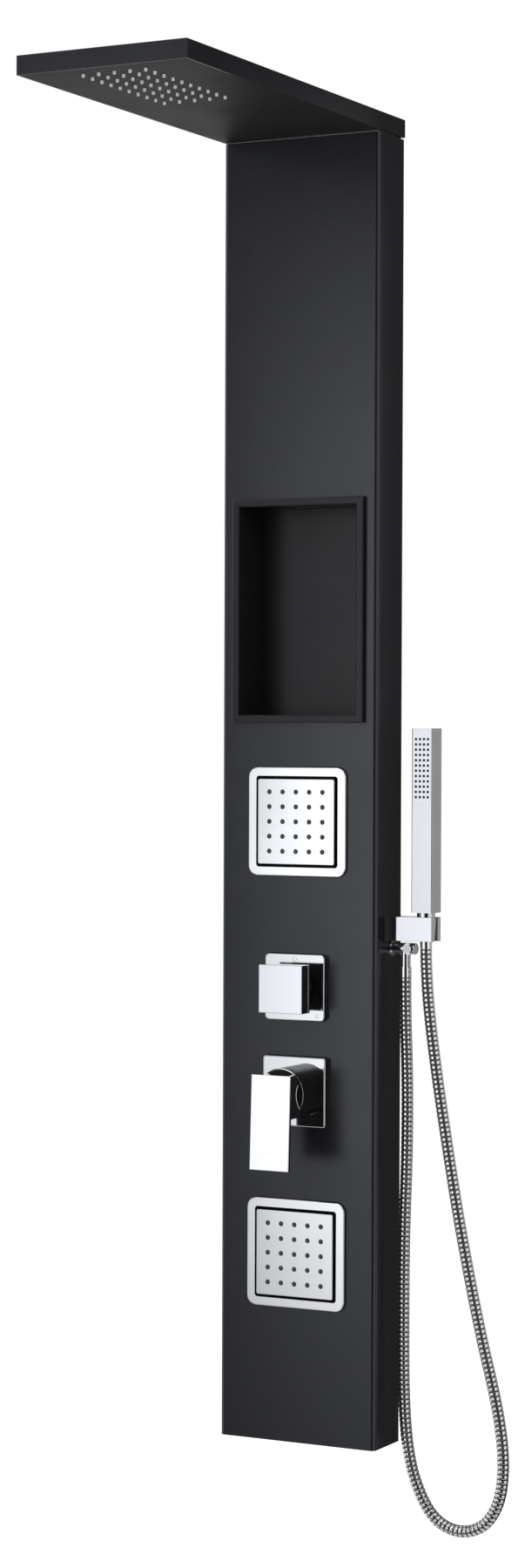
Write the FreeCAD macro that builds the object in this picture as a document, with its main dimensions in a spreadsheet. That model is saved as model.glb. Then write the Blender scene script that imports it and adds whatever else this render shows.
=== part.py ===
"""Wall-mounted shower panel column: overhead head, niche, two body jets, diverter,
mixer with lever, and a hand shower on a ribbed hose.

Millimetres. +X is to the right of a person who faces the panel, +Y points into the wall
and +Z is up. The origin is the centre of the upper wall bracket's two screw holes, on the
wall plane, so the wall is y = 0 and everything stands in front of it, at y < 0.
Heights in the sheet are measured from the foot of the column.
"""
import FreeCAD, Part
import Sketcher
import math
import os
from types import SimpleNamespace

from FreeCAD import Placement, Rotation, Vector

SIZES = {
    # column
    "column_width": 200.0,
    "column_depth": 65.0,
    "column_height": 1500.0,
    "column_wall": 2.0,
    "column_corner": 6.0,
    "lip_width": 9.0,
    "mount_drop": 150.0,
    "fit_gap": 0.2,
    "running_gap": 0.3,
    "service_depth": 23.5,
    "cap_height": 12.0,
    "cap_wall": 2.0,
    # wall brackets and the bars that hang on them
    "lower_bracket_height": 90.0,
    "bracket_width": 140.0,
    "bracket_height": 36.0,
    "bracket_sheet": 2.0,
    "hook_height": 14.0,
    "hook_width": 110.0,
    "screw_spacing": 100.0,
    "screw_hole_radius": 3.25,
    "bar_height": 30.0,
    "bar_thickness": 2.5,
    "bar_slack": 1.0,
    "bar_hole_radius": 7.0,
    # niche
    "niche_width": 151.0,
    "niche_height": 240.3,
    "niche_rise": 122.5,
    "niche_depth": 55.0,
    "niche_sheet": 1.2,
    "trim_width": 8.5,
    "trim_proud": 7.0,
    "trim_edge": 1.2,
    # overhead head
    "head_width": 203.5,
    "head_reach": 517.5,
    "head_thickness": 20.6,
    "head_gap": 2.0,
    "head_sheet": 1.5,
    "head_edge": 0.8,
    "rain_columns": 5,
    "rain_rows": 10,
    "rain_pitch_across": 18.7,
    "rain_pitch_along": 19.1,
    "rain_centre_reach": 403.0,
    "rain_hole_radius": 3.4,
    "rain_tip_radius": 3.0,
    "rain_tip_length": 3.0,
    "rain_tip_taper": 8.0,
    "mat_thickness": 1.5,
    "water_box_margin": 12.0,
    "water_box_height": 12.0,
    "water_box_wall": 1.5,
    "head_plate": 3.0,
    "head_flange": 42.0,
    "head_bracket_reach": 60.0,
    "head_bolt_x": 70.0,
    "head_bolt_front": 48.0,
    "head_bolt_rear": 15.0,
    "head_bolt_radius": 2.5,
    "head_bolt_head_radius": 4.5,
    "head_bolt_head": 3.0,
    "head_feed_x": 40.0,
    "head_feed_drop": 16.0,
    "head_feed_rise": 9.0,
    "head_feed_bend": 12.0,
    "head_feed_slack": 2.5,
    # body jets
    "upper_jet_rise": 190.0,
    "lower_jet_height": 218.4,
    "jet_frame_width": 125.0,
    "jet_frame_corner": 11.5,
    "jet_frame_proud": 4.0,
    "jet_frame_edge": 1.2,
    "jet_opening": 105.0,
    "jet_opening_corner": 3.5,
    "jet_housing_width": 111.0,
    "jet_housing_wall": 2.0,
    "jet_housing_floor": 3.0,
    "jet_face_width": 98.0,
    "jet_face_corner": 2.0,
    "jet_face_edge": 0.8,
    "jet_face_proud": 6.5,
    "jet_face_depth": 7.5,
    "jet_face_sheet": 2.5,
    "jet_face_rim": 2.0,
    "jet_back_thickness": 3.0,
    "jet_chamber_depth": 1.4,
    "jet_chamber_rim": 3.0,
    "jet_count": 5,
    "jet_pitch": 17.1,
    "jet_hole_radius": 2.9,
    "jet_tip_radius": 2.2,
    "jet_tip_proud": 1.2,
    "jet_tip_taper": 4.0,
    "jet_pivot_depth": 15.0,
    "jet_ball_radius": 10.0,
    "jet_neck_radius": 5.0,
    "jet_bore_radius": 3.0,
    "jet_seal_thickness": 2.1,
    "jet_socket_radius": 16.0,
    "jet_socket_rear": 6.0,
    "jet_seal_front": 8.0,
    "jet_boss_radius": 11.0,
    "jet_boss_depth": 13.5,
    "jet_barb_end": 26.0,
    # hoses and pipes inside the column
    "barb_radius": 5.0,
    "barb_bore": 3.0,
    "feed_hose_radius": 6.5,
    "feed_hose_bore": 4.0,
    "hose_clearance": 0.5,
    "feed_pipe_radius": 5.0,
    "feed_pipe_bore": 4.0,
    "feed_bend": 25.0,
    "head_hose_margin": 12.5,
    "head_hose_bend": 30.0,
    "lower_hose_margin": 12.5,
    "handset_pipe_bend": 12.0,
    "handset_pipe_jog": 8.0,
    "supply_hose_radius": 7.0,
    "supply_hose_bore": 4.5,
    "supply_bend": 20.0,
    "supply_depth": 46.0,
    "supply_margin": 20.0,
    "supply_drop": 144.3,
    "supply_nut_radius": 14.0,
    "supply_nut_length": 14.0,
    "supply_nut_rear": 4.0,
    "supply_thread_radius": 9.3155,
    "supply_thread_length": 10.0,
    # diverter
    "diverter_rise": 119.9,
    "diverter_plate": 76.0,
    "diverter_plate_proud": 8.0,
    "diverter_plate_corner": 5.0,
    "diverter_plate_edge": 1.0,
    "diverter_body_radius": 24.5,
    "diverter_body_rear": 12.0,
    "valve_neck_radius": 21.0,
    "valve_neck_proud": 6.0,
    "valve_nut_radius": 28.0,
    "valve_nut_thickness": 5.0,
    "diverter_cartridge_radius": 15.0,
    "diverter_cartridge_depth": 27.0,
    "diverter_nose_radius": 12.0,
    "diverter_nose_proud": 19.0,
    "diverter_collar_radius": 16.0,
    "diverter_collar_proud": 23.0,
    "diverter_port_rise": 9.5,
    "diverter_drill_offset": 8.5,
    "diverter_drill_radius": 2.5,
    "diverter_port_end": 37.0,
    "spindle_radius": 4.0,
    "spindle_root": 5.0,
    "spindle_tip": 36.0,
    "knob_width": 55.0,
    "knob_depth": 20.5,
    "knob_gap": 0.5,
    "knob_edge": 0.7,
    "knob_screw_radius": 2.0,
    # mixer
    "mixer_rise": 187.9,
    "mixer_plate": 80.0,
    "mixer_plate_proud": 9.0,
    "mixer_plate_corner": 3.0,
    "mixer_plate_edge": 1.5,
    "mixer_body_width": 60.0,
    "mixer_body_rear": 14.0,
    "mixer_port_end": 46.0,
    "mixer_inlet_radius": 6.0,
    "mixer_cartridge_radius": 18.0,
    "mixer_cartridge_depth": 29.0,
    "mixer_cartridge_proud": 29.0,
    "mixer_sleeve_radius": 29.5,
    "mixer_sleeve_wall": 3.0,
    "mixer_sleeve_proud": 42.0,
    "mixer_sleeve_mouth": 20.0,
    "mixer_sleeve_edge": 1.0,
    "guide_radius": 14.0,
    "guide_thickness": 9.7,
    "guide_slot_height": 22.0,
    "lift_pivot_proud": 24.0,
    "lift_pin_radius": 2.0,
    "lift_pin_length": 24.0,
    "stem_width": 8.0,
    "stem_root": 21.5,
    "stem_tip": 54.0,
    "lever_width": 49.5,
    "lever_rise": 23.7,
    "lever_drop": 84.3,
    "lever_top_proud": 66.0,
    "lever_bottom_proud": 70.5,
    "lever_thickness": 4.6,
    "lever_hub_drop": 25.3,
    "lever_relief_drop": 2.5,
    "lever_relief_depth": 7.8,
    "lever_edge": 0.7,
    "lever_screw_radius": 2.5,
    "lever_screw_proud": 48.0,
    # holder, elbow and hand shower
    "holder_drop": 3.0,
    "holder_rise": 27.8,
    "holder_length": 53.5,
    "holder_depth": 25.0,
    "holder_edge": 0.5,
    "base_plate_thickness": 2.4,
    "base_plate_front": 45.0,
    "base_plate_rear": 4.0,
    "cone_bottom_radius": 8.0,
    "cone_top_radius": 10.2,
    "holder_slot": 8.0,
    "cone_nut_drop": 24.8,
    "cone_collar_radius": 10.5,
    "cone_collar_height": 4.4,
    "cone_spigot_radius": 9.0,
    "cone_spigot_height": 11.5,
    "handset_width": 26.0,
    "handset_height": 210.2,
    "handset_corner": 1.2,
    "handset_bore": 6.0,
    "handset_chamber_depth": 15.0,
    "handset_face_width": 22.0,
    "handset_face_height": 82.0,
    "handset_face_top": 2.0,
    "handset_face_thickness": 2.0,
    "spray_columns": 4,
    "spray_rows": 12,
    "spray_pitch_across": 5.0,
    "spray_pitch_along": 6.0,
    "spray_top": 12.3,
    "spray_hole_radius": 1.6,
    "spray_tip_radius": 1.1,
    "spray_tip_proud": 0.6,
    "spray_tip_taper": 2.0,
    "holder_screw_radius": 2.0,
    "holder_screw_head_radius": 3.5,
    "holder_screw_head": 2.5,
    "holder_screw_length": 12.0,
    "holder_screw_spread": 7.0,
    "elbow_rise": 21.0,
    "elbow_radius": 6.5,
    "elbow_reach": 31.5,
    "elbow_edge": 1.5,
    "elbow_bore": 4.0,
    "elbow_flange_radius": 9.0,
    "elbow_flange": 1.6,
    "elbow_shank_radius": 5.8,
    "elbow_shank_length": 18.0,
    "elbow_barb_length": 12.0,
    "elbow_nut_radius": 9.5,
    "elbow_nut_thickness": 5.0,
    "plug_offset": 6.0,
    "plug_boss_radius": 6.1,
    "plug_boss_length": 7.5,
    "plug_radius": 5.4,
    "plug_cap": 2.5,
    "plug_shank_radius": 3.5,
    "plug_shank_length": 3.0,
    "ferrule_radius": 5.9,
    "ferrule_height": 14.0,
    # the free shower hose
    "hose_radius": 6.9,
    "hose_groove_radius": 6.1,
    "hose_bore_radius": 4.5,
    "hose_ribs": 190,
}

# Route of the free hose, as distance out from the column's side and height above its foot,
# in the plane through the hand shower's axis: down from the elbow, round its hanging loop,
# up to the cone nut.
HOSE_ROUTE = [
    (17.4, 551.0), (17.4, 505.0), (20.8, 420.0), (20.4, 330.0), (17.2, 245.0), (16.8, 145.0),
    (17.6, 50.0), (24.2, -14.0), (40.0, -57.0), (60.5, -83.0), (90.5, -92.0), (119.5, -81.5),
    (137.5, -54.0), (143.0, -18.0), (141.0, 20.0), (132.0, 68.0), (112.5, 141.0), (89.0, 249.0),
    (73.5, 334.0), (54.0, 450.0), (43.1, 540.0), (43.1, 584.0),
]

document = FreeCAD.newDocument("ShowerPanelColumn")
finished = []


class Length:
    """A size together with the sheet expression that it comes from."""

    def __init__(self, text, value):
        self.text = text
        self.value = value

    def __add__(self, other):
        other = length(other)
        return Length(f"({self.text} + {other.text})", self.value + other.value)

    def __sub__(self, other):
        other = length(other)
        return Length(f"({self.text} - {other.text})", self.value - other.value)

    def __mul__(self, factor):
        factor = length(factor)
        return Length(f"({self.text} * {factor.text})", self.value * factor.value)

    def __truediv__(self, divisor):
        divisor = length(divisor)
        return Length(f"({self.text} / {divisor.text})", self.value / divisor.value)

    def __neg__(self):
        return Length(f"(0 - {self.text})", -self.value)

    def __radd__(self, other):
        return length(other) + self

    def __rsub__(self, other):
        return length(other) - self


def length(value):
    """Wrap a plain number as a Length, and leave a Length as it is."""
    if isinstance(value, Length):
        return value
    return Length(f"({value})", float(value))


def fill_sheet():
    """Write the driving sizes into the spreadsheet and return them as Lengths."""
    sheet = document.addObject("Spreadsheet::Sheet", "Sizes")
    lengths = {}
    for row, (name, value) in enumerate(SIZES.items(), start=1):
        sheet.set(f"A{row}", name)
        sheet.set(f"B{row}", str(value))
        sheet.setAlias(f"B{row}", name)
        lengths[name] = Length(f"Sizes.{name}", value)
    document.recompute()
    return SimpleNamespace(**lengths)


size = fill_sheet()


# ---------------------------------------------------------------- drawing helpers

def bind(target, name, value):
    """Bind one property of a document object to a Length."""
    target.setExpression(name, length(value).text)


def put(target, x=0, y=0, z=0, turn=None):
    """Give an object its bound position, and its fixed rotation."""
    spot = [length(value) for value in (x, y, z)]
    base = Vector(*[value.value for value in spot])
    target.Placement = Placement(base, turn or Rotation())
    for axis, value in zip("xyz", spot):
        target.setExpression(f".Placement.Base.{axis}", value.text)
    return target


def block(name, x, y, z):
    """A box between two x, two y and two z values, the lower one first."""
    box = document.addObject("Part::Box", name)
    for prop, (low, high) in zip(("Length", "Width", "Height"), (x, y, z)):
        bind(box, prop, length(high) - low)
    return put(box, x[0], y[0], z[0])


TURNS = {
    "x": Rotation(Vector(0, 1, 0), 90),
    "y": Rotation(Vector(1, 0, 0), -90),
    "z": Rotation(),
}


def along(axis, start, across):
    """Position of an axis-parallel solid: its start, and its two other coordinates."""
    first, second = across
    if axis == "x":
        return start, first, second
    if axis == "y":
        return first, start, second
    return first, second, start


def rod(name, axis, across, radius, start, end):
    """A cylinder parallel to an axis, from the lower to the higher coordinate."""
    cylinder = document.addObject("Part::Cylinder", name)
    bind(cylinder, "Radius", radius)
    bind(cylinder, "Height", length(end) - start)
    return put(cylinder, *along(axis, start, across), TURNS[axis])


def taper(name, axis, across, radii, start, end):
    """A cone frustum parallel to an axis, from the lower to the higher coordinate."""
    cone = document.addObject("Part::Cone", name)
    bind(cone, "Radius1", radii[0])
    bind(cone, "Radius2", radii[1])
    bind(cone, "Height", length(end) - start)
    return put(cone, *along(axis, start, across), TURNS[axis])


def ball(name, centre, radius):
    """A sphere round a centre."""
    sphere = document.addObject("Part::Sphere", name)
    bind(sphere, "Radius", radius)
    return put(sphere, *centre)


def hexagon(name, axis, across, radius, start, end):
    """A hexagonal prism parallel to an axis; the radius reaches its corners."""
    prism = document.addObject("Part::Prism", name)
    prism.Polygon = 6
    bind(prism, "Circumradius", radius)
    bind(prism, "Height", length(end) - start)
    return put(prism, *along(axis, start, across), TURNS[axis])


def fuse(name, *solids):
    """One solid from several that touch."""
    union = document.addObject("Part::MultiFuse", name)
    union.Shapes = list(solids)
    union.Refine = True
    return union


def cut(name, base, *tools):
    """The base without the tools."""
    result = document.addObject("Part::Cut", name)
    result.Base = base
    if len(tools) == 1:
        result.Tool = tools[0]
    else:
        result.Tool = fuse(f"{name}_tools", *tools)
    result.Refine = True
    return result


def finish(solid, node):
    """Name a finished sub-part after its node and list it for export."""
    solid.Label = node
    finished.append(solid)
    return solid


def gather(node, pieces):
    """One node that holds several separate solids of the same kind."""
    group = document.addObject("Part::Compound", node)
    group.Links = pieces
    return finish(group, node)


def draw_outline(sketch, points):
    """Closed straight outline, each corner held by two bound distances."""
    corners = [(length(x), length(y)) for x, y in points]
    count = len(corners)
    spots = [Vector(x.value, y.value, 0) for x, y in corners]
    for index in range(count):
        sketch.addGeometry(Part.LineSegment(spots[index], spots[(index + 1) % count]), False)
    for index in range(count):
        sketch.addConstraint(Sketcher.Constraint("Coincident", index, 2, (index + 1) % count, 1))
    for index, corner in enumerate(corners):
        for kind, value in zip(("DistanceX", "DistanceY"), corner):
            number = sketch.addConstraint(Sketcher.Constraint(kind, -1, 1, index, 1, value.value))
            sketch.setExpression(f"Constraints[{number}]", value.text)


def add_sketch(body, name, plane):
    """An empty sketch on one of the body's own origin planes."""
    sketch = body.newObject("Sketcher::SketchObject", name)
    support = [item for item in body.Origin.OriginFeatures if item.Role == plane][0]
    sketch.AttachmentSupport = (support, "")
    sketch.MapMode = "FlatFace"
    return sketch


NORMALS = {"XY_Plane": "z", "XZ_Plane": "y", "YZ_Plane": "x"}


def extrusion(name, plane, points, start, end):
    """A body padded from a closed outline, between two coordinates on the plane's normal.

    A pad on the XZ plane grows towards -Y, so there the start is the higher coordinate.
    """
    body = document.addObject("PartDesign::Body", name)
    sketch = add_sketch(body, f"{name}_outline", plane)
    draw_outline(sketch, points)
    pad = body.newObject("PartDesign::Pad", f"{name}_pad")
    pad.Profile = sketch
    span = length(start) - end if plane == "XZ_Plane" else length(end) - start
    bind(pad, "Length", span)
    put(body, **{NORMALS[plane]: start})
    document.recompute()
    return body


def rectangle(x, y):
    """Corners of a rectangle between two x and two y values."""
    return [(x[0], y[0]), (x[1], y[0]), (x[1], y[1]), (x[0], y[1])]


def dress(body, kind, amount, chosen):
    """Fillet or chamfer those edges of the body that the test picks."""
    base = body.Tip
    names = [f"Edge{number}" for number, edge in enumerate(base.Shape.Edges, start=1) if chosen(edge)]
    feature = body.newObject(f"PartDesign::{kind}", f"{body.Name}_{kind.lower()}_{len(body.Group)}")
    feature.Base = (base, names)
    bind(feature, "Radius" if kind == "Fillet" else "Size", amount)
    body.Tip = feature
    document.recompute()
    return body


def runs_along(axis):
    """Test for straight edges parallel to an axis."""
    def test(edge):
        if edge.Curve.TypeId != "Part::GeomLine":
            return False
        return abs(getattr(edge.tangentAt(edge.FirstParameter), axis)) > 0.999
    return test


def lies_at(axis, value):
    """Test for edges that lie in one plane across an axis, in the body's own frame."""
    def test(edge):
        box = edge.BoundBox
        low = getattr(box, f"{axis.upper()}Min")
        high = getattr(box, f"{axis.upper()}Max")
        return abs(low - value) < 1e-4 and abs(high - value) < 1e-4
    return test


def plate(name, x, z, rear, front, corner, edge):
    """A flat body that faces the room, with round corners and softened front edges."""
    body = extrusion(name, "XZ_Plane", rectangle(x, z), rear, front)
    dress(body, "Fillet", corner, runs_along("y"))
    if edge is not None:
        depth = length(rear).value - length(front).value
        dress(body, "Fillet", edge, lies_at("y", -depth))
    return body


def add_grid(body, name, plane, first, pitches, counts, radius, rise, taper_angle=None):
    """A grid of equal round holes, or of tapered tips where a taper angle is given.

    first is the grid's first centre in the sketch. Rise is the height of the tips or the
    depth of the holes, counted from the body's own plane; tips on a level plane hang down.
    """
    sketch = add_sketch(body, f"{name}_circle", plane)
    centre = Vector(length(first[0]).value, length(first[1]).value, 0)
    sketch.addGeometry(Part.Circle(centre, Vector(0, 0, 1), radius.value), False)
    for kind, value in zip(("DistanceX", "DistanceY"), first):
        number = sketch.addConstraint(Sketcher.Constraint(kind, -1, 1, 0, 3, length(value).value))
        sketch.setExpression(f"Constraints[{number}]", length(value).text)
    number = sketch.addConstraint(Sketcher.Constraint("Radius", 0, radius.value))
    sketch.setExpression(f"Constraints[{number}]", radius.text)
    if taper_angle is None:
        feature = body.newObject("PartDesign::Pocket", f"{name}_holes")
        feature.Midplane = True
    else:
        feature = body.newObject("PartDesign::Pad", f"{name}_tips")
        feature.Reversed = plane == "XY_Plane"
        bind(feature, "TaperAngle", -taper_angle)
    feature.Profile = sketch
    bind(feature, "Length", rise)
    document.recompute()
    pattern = body.newObject("PartDesign::MultiTransform", f"{name}_grid")
    pattern.Originals = [feature]
    steps = []
    for axis, pitch, count in zip(("H_Axis", "V_Axis"), pitches, counts):
        step = body.newObject("PartDesign::LinearPattern", f"{name}_{axis.lower()}")
        step.Direction = (sketch, [axis])
        bind(step, "Length", pitch * (count - 1))
        bind(step, "Occurrences", count)
        steps.append(step)
    pattern.Transformations = steps
    body.Tip = pattern
    document.recompute()
    return body


# ---------------------------------------------------------------- tubes

class Route:
    """Straight runs through chosen points, joined by tangent arcs."""

    def __init__(self, points, radius=None):
        self.points = [Vector(*point) for point in points]
        self.pieces = []
        self.radii = []
        here = self.points[0]
        for index in range(1, len(self.points) - 1):
            before, corner, after = self.points[index - 1:index + 2]
            inward = (corner - before).normalize()
            outward = (after - corner).normalize()
            half_turn = inward.getAngle(outward) / 2
            shorter = min((corner - before).Length, (after - corner).Length)
            bend = radius or 0.45 * shorter / math.tan(half_turn)
            back = bend * math.tan(half_turn)
            start = corner - inward * back
            end = corner + outward * back
            middle = self.arc_middle(corner, inward, outward, bend, half_turn)
            self.pieces.append(("line", here, start))
            self.pieces.append(("arc", start, middle, end, bend, 2 * half_turn * bend))
            self.radii.append(bend)
            here = end
        self.pieces.append(("line", here, self.points[-1]))

    @staticmethod
    def arc_middle(corner, inward, outward, bend, half_turn):
        """Point half way round the arc that rounds a corner."""
        towards_centre = (outward - inward).normalize()
        return corner + towards_centre * (bend / math.cos(half_turn) - bend)

    def edges(self):
        """The route as edges."""
        result = []
        for piece in self.pieces:
            if piece[0] == "line":
                result.append(Part.LineSegment(piece[1], piece[2]).toShape())
            else:
                result.append(Part.Arc(piece[1], piece[2], piece[3]).toShape())
        return result

    def wire(self):
        """The route as one wire."""
        return Part.Wire(self.edges())

    def spots(self, distances):
        """Points and directions at rising distances along the route."""
        edges = self.edges()
        lengths = [edge.Length for edge in edges]
        found = []
        index = 0
        passed = 0.0
        for distance in distances:
            while index < len(edges) - 1 and distance > passed + lengths[index]:
                passed += lengths[index]
                index += 1
            edge = edges[index]
            local = min(max(distance - passed, 0.0), lengths[index])
            parameter = edge.getParameterByLength(local)
            direction = edge.tangentAt(parameter)
            found.append((edge.valueAt(parameter), direction.normalize()))
        return found


def pipe(route, radius):
    """Solid round bar along a route."""
    start = route.points[0]
    direction = (route.points[1] - start).normalize()
    section = Part.Wire([Part.makeCircle(radius, start, direction)])
    return route.wire().makePipeShell([section], True, False)


def tube(node, points, radius, bore, bend):
    """A hose or pipe inside the panel, along bound points, with one bend radius."""
    route = Route([[length(value).value for value in point] for point in points], bend.value)
    feature = document.addObject("Part::Feature", node)
    feature.Shape = pipe(route, radius.value).cut(pipe(route, bore.value))
    feature.Placement = Placement()
    expected = math.pi * (radius.value ** 2 - bore.value ** 2) * route.wire().Length
    print(f"{node}: volume is {feature.Shape.Volume / expected:.4f} of section times length")
    return finish(feature, node)


# ---------------------------------------------------------------- shared planes

foot = size.mount_drop - size.column_height
half_width = size.column_width / 2
front = -size.column_depth
inner_front = front + size.column_wall
inner_half = half_width - size.column_wall
service = -size.service_depth
head_floor = foot + size.column_height + size.head_gap
head_top = head_floor + size.head_thickness
lower_jet_level = foot + size.lower_jet_height
mixer_level = lower_jet_level + size.mixer_rise
diverter_level = mixer_level + size.diverter_rise
upper_jet_level = diverter_level + size.upper_jet_rise
niche_low = upper_jet_level + size.niche_rise
hose_x = half_width + HOSE_ROUTE[0][0]
hose_start = foot + HOSE_ROUTE[0][1]
handset_x = half_width + HOSE_ROUTE[-1][0]
elbow_level = hose_start + size.elbow_rise
holder_low = foot + HOSE_ROUTE[-1][1] - size.holder_drop


# ---------------------------------------------------------------- column

def make_column_shell():
    """Folded shell, open at the back, with two lips and every cut-out."""
    lip = half_width - size.lip_width
    rear = -size.column_wall
    profile = [
        (-half_width, 0), (-half_width, front), (half_width, front), (half_width, 0),
        (lip, 0), (lip, rear), (inner_half, rear), (inner_half, inner_front),
        (-inner_half, inner_front), (-inner_half, rear), (-lip, rear), (-lip, 0),
    ]
    body = extrusion("column_profile", "XY_Plane", profile, foot, foot + size.column_height)
    upright = runs_along("z")

    def folded(x, y):
        def test(edge):
            spot = edge.Vertexes[0].Point
            return upright(edge) and abs(abs(spot.x) - x.value) < 1e-4 and abs(spot.y - y.value) < 1e-4
        return test

    dress(body, "Fillet", size.column_corner, folded(half_width, front))
    dress(body, "Fillet", size.column_corner - size.column_wall, folded(inner_half, inner_front))
    through = (front - size.column_wall, inner_front + size.column_wall)
    gap = size.fit_gap
    tub = size.niche_width / 2 + size.niche_sheet + gap
    niche = block(
        "niche_cutout", (-tub, tub), through,
        (niche_low - size.niche_sheet - gap, niche_low + size.niche_height + size.niche_sheet + gap))
    cutters = [niche]
    housing = size.jet_housing_width / 2 + gap
    for name, centre in (("upper", upper_jet_level), ("lower", lower_jet_level)):
        cutters.append(block(f"{name}_jet_cutout", (-housing, housing), through,
                             (centre - housing, centre + housing)))
    for name, centre in (("diverter", diverter_level), ("mixer", mixer_level)):
        cutters.append(rod(f"{name}_cutout", "y", (0, centre), size.valve_neck_radius + gap, *through))
    side = (inner_half - size.column_wall, half_width + size.column_wall)
    cutters.append(rod("elbow_cutout", "x", (service, elbow_level),
                       size.elbow_shank_radius + gap, *side))
    for name, height in holder_screw_heights():
        cutters.append(rod(f"{name}_cutout", "x", (service, height),
                           size.holder_screw_radius + gap, *side))
    finish(cut("column_shell", body, *cutters), "column_shell")


def holder_screw_heights():
    """Names and heights of the two screws that hold the holder."""
    middle = holder_low + size.holder_rise / 2
    return (("lower_screw", middle - size.holder_screw_spread),
            ("upper_screw", middle + size.holder_screw_spread))


def make_bottom_cap():
    """Shallow tray that closes the foot of the column."""
    x = inner_half - size.fit_gap
    low = inner_front + size.fit_gap
    high = -size.column_wall - size.fit_gap
    body = extrusion("cap_block", "XY_Plane", rectangle((-x, x), (low, high)), foot, foot + size.cap_height)

    def front_corner(edge):
        return runs_along("z")(edge) and abs(edge.Vertexes[0].Point.y - low.value) < 1e-4

    dress(body, "Fillet", size.column_corner - size.column_wall, front_corner)
    wall = size.cap_wall
    hollow = block("cap_hollow", (-x + wall * 2, x - wall * 2), (low + wall * 2, high - wall),
                   (foot + wall, foot + size.cap_height + wall))
    finish(cut("bottom_cap", body, hollow), "bottom_cap")


def make_hangers():
    """Two hooked brackets for the wall, and the two bars of the column that hang on them."""
    heights = (("upper", foot + size.column_height - size.mount_drop),
               ("lower", foot + size.lower_bracket_height))
    brackets, bars = zip(*[make_hanger(name, centre) for name, centre in heights])
    gather("wall_brackets", list(brackets))
    gather("hanger_bars", list(bars))


def make_hanger(name, centre):
    """One hooked sheet bracket, and the bar that hangs on it."""
    half = size.bracket_width / 2
    sheet = size.bracket_sheet
    low = centre - size.bracket_height / 2
    hook = size.hook_width / 2
    hook_front = -sheet * 2 - size.bar_thickness - size.bar_slack
    leaf = block(f"{name}_leaf", (-half, half), (-sheet, 0), (low, centre + size.bracket_height / 2))
    ledge = block(f"{name}_ledge", (-hook, hook), (hook_front, -sheet), (low, low + sheet))
    lip = block(f"{name}_lip", (-hook, hook), (hook_front, hook_front + sheet),
                (low + sheet, low + size.hook_height))
    holes = []
    clearances = []
    for side, sign in (("left", -1), ("right", 1)):
        x = size.screw_spacing / 2 * sign
        holes.append(rod(f"{name}_{side}_hole", "y", (x, centre), size.screw_hole_radius, -sheet * 2, sheet))
        clearances.append(rod(f"{name}_{side}_clearance", "y", (x, centre), size.bar_hole_radius,
                              -sheet * 4, sheet))
    bracket = cut(f"{name}_bracket", fuse(f"{name}_fold", leaf, ledge, lip), *holes)
    rear = -size.column_wall
    x = inner_half - size.fit_gap
    strip = block(f"{name}_strip", (-x, x), (rear - size.bar_thickness, rear),
                  (low + sheet, low + sheet + size.bar_height))
    return bracket, cut(f"{name}_bar", strip, *clearances)


# ---------------------------------------------------------------- niche

def make_niche():
    """Recessed tub with a flange, and four mitred trim strips on it."""
    half = size.niche_width / 2
    low = niche_low
    high = low + size.niche_height
    sheet = size.niche_sheet
    floor = front + size.niche_depth
    flange_front = front - sheet
    reach = size.trim_width - size.fit_gap * 2
    shell = block("tub_outer", (-half - sheet, half + sheet), (flange_front, floor + sheet),
                  (low - sheet, high + sheet))
    flange = block("tub_flange", (-half - reach, half + reach), (flange_front, front),
                   (low - reach, high + reach))
    hollow = block("tub_hollow", (-half, half), (flange_front - sheet, floor), (low, high))
    finish(cut("niche_tub", fuse("tub_solid", shell, flange), hollow), "niche_tub")
    width = size.trim_width
    outer = [(-half - width, low - width), (half + width, low - width),
             (half + width, high + width), (-half - width, high + width)]
    inner = [(-half, low), (half, low), (half, high), (-half, high)]
    strips = []
    for index, side in enumerate(("bottom", "right", "top", "left")):
        after = (index + 1) % 4
        points = [outer[index], outer[after], inner[after], inner[index]]
        strip = extrusion(f"trim_{side}", "XZ_Plane", points, flange_front, front - size.trim_proud)
        proud = size.trim_proud.value - sheet.value
        dress(strip, "Chamfer", size.trim_edge, long_front_edges(proud))
        strips.append(strip)
    gather("niche_trim", strips)


def long_front_edges(proud):
    """Test for the two long edges on the front face of a trim strip."""
    level = lies_at("y", -proud)

    def test(edge):
        straight = runs_along("x")(edge) or runs_along("z")(edge)
        return straight and level(edge)
    return test


# ---------------------------------------------------------------- overhead head

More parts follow.
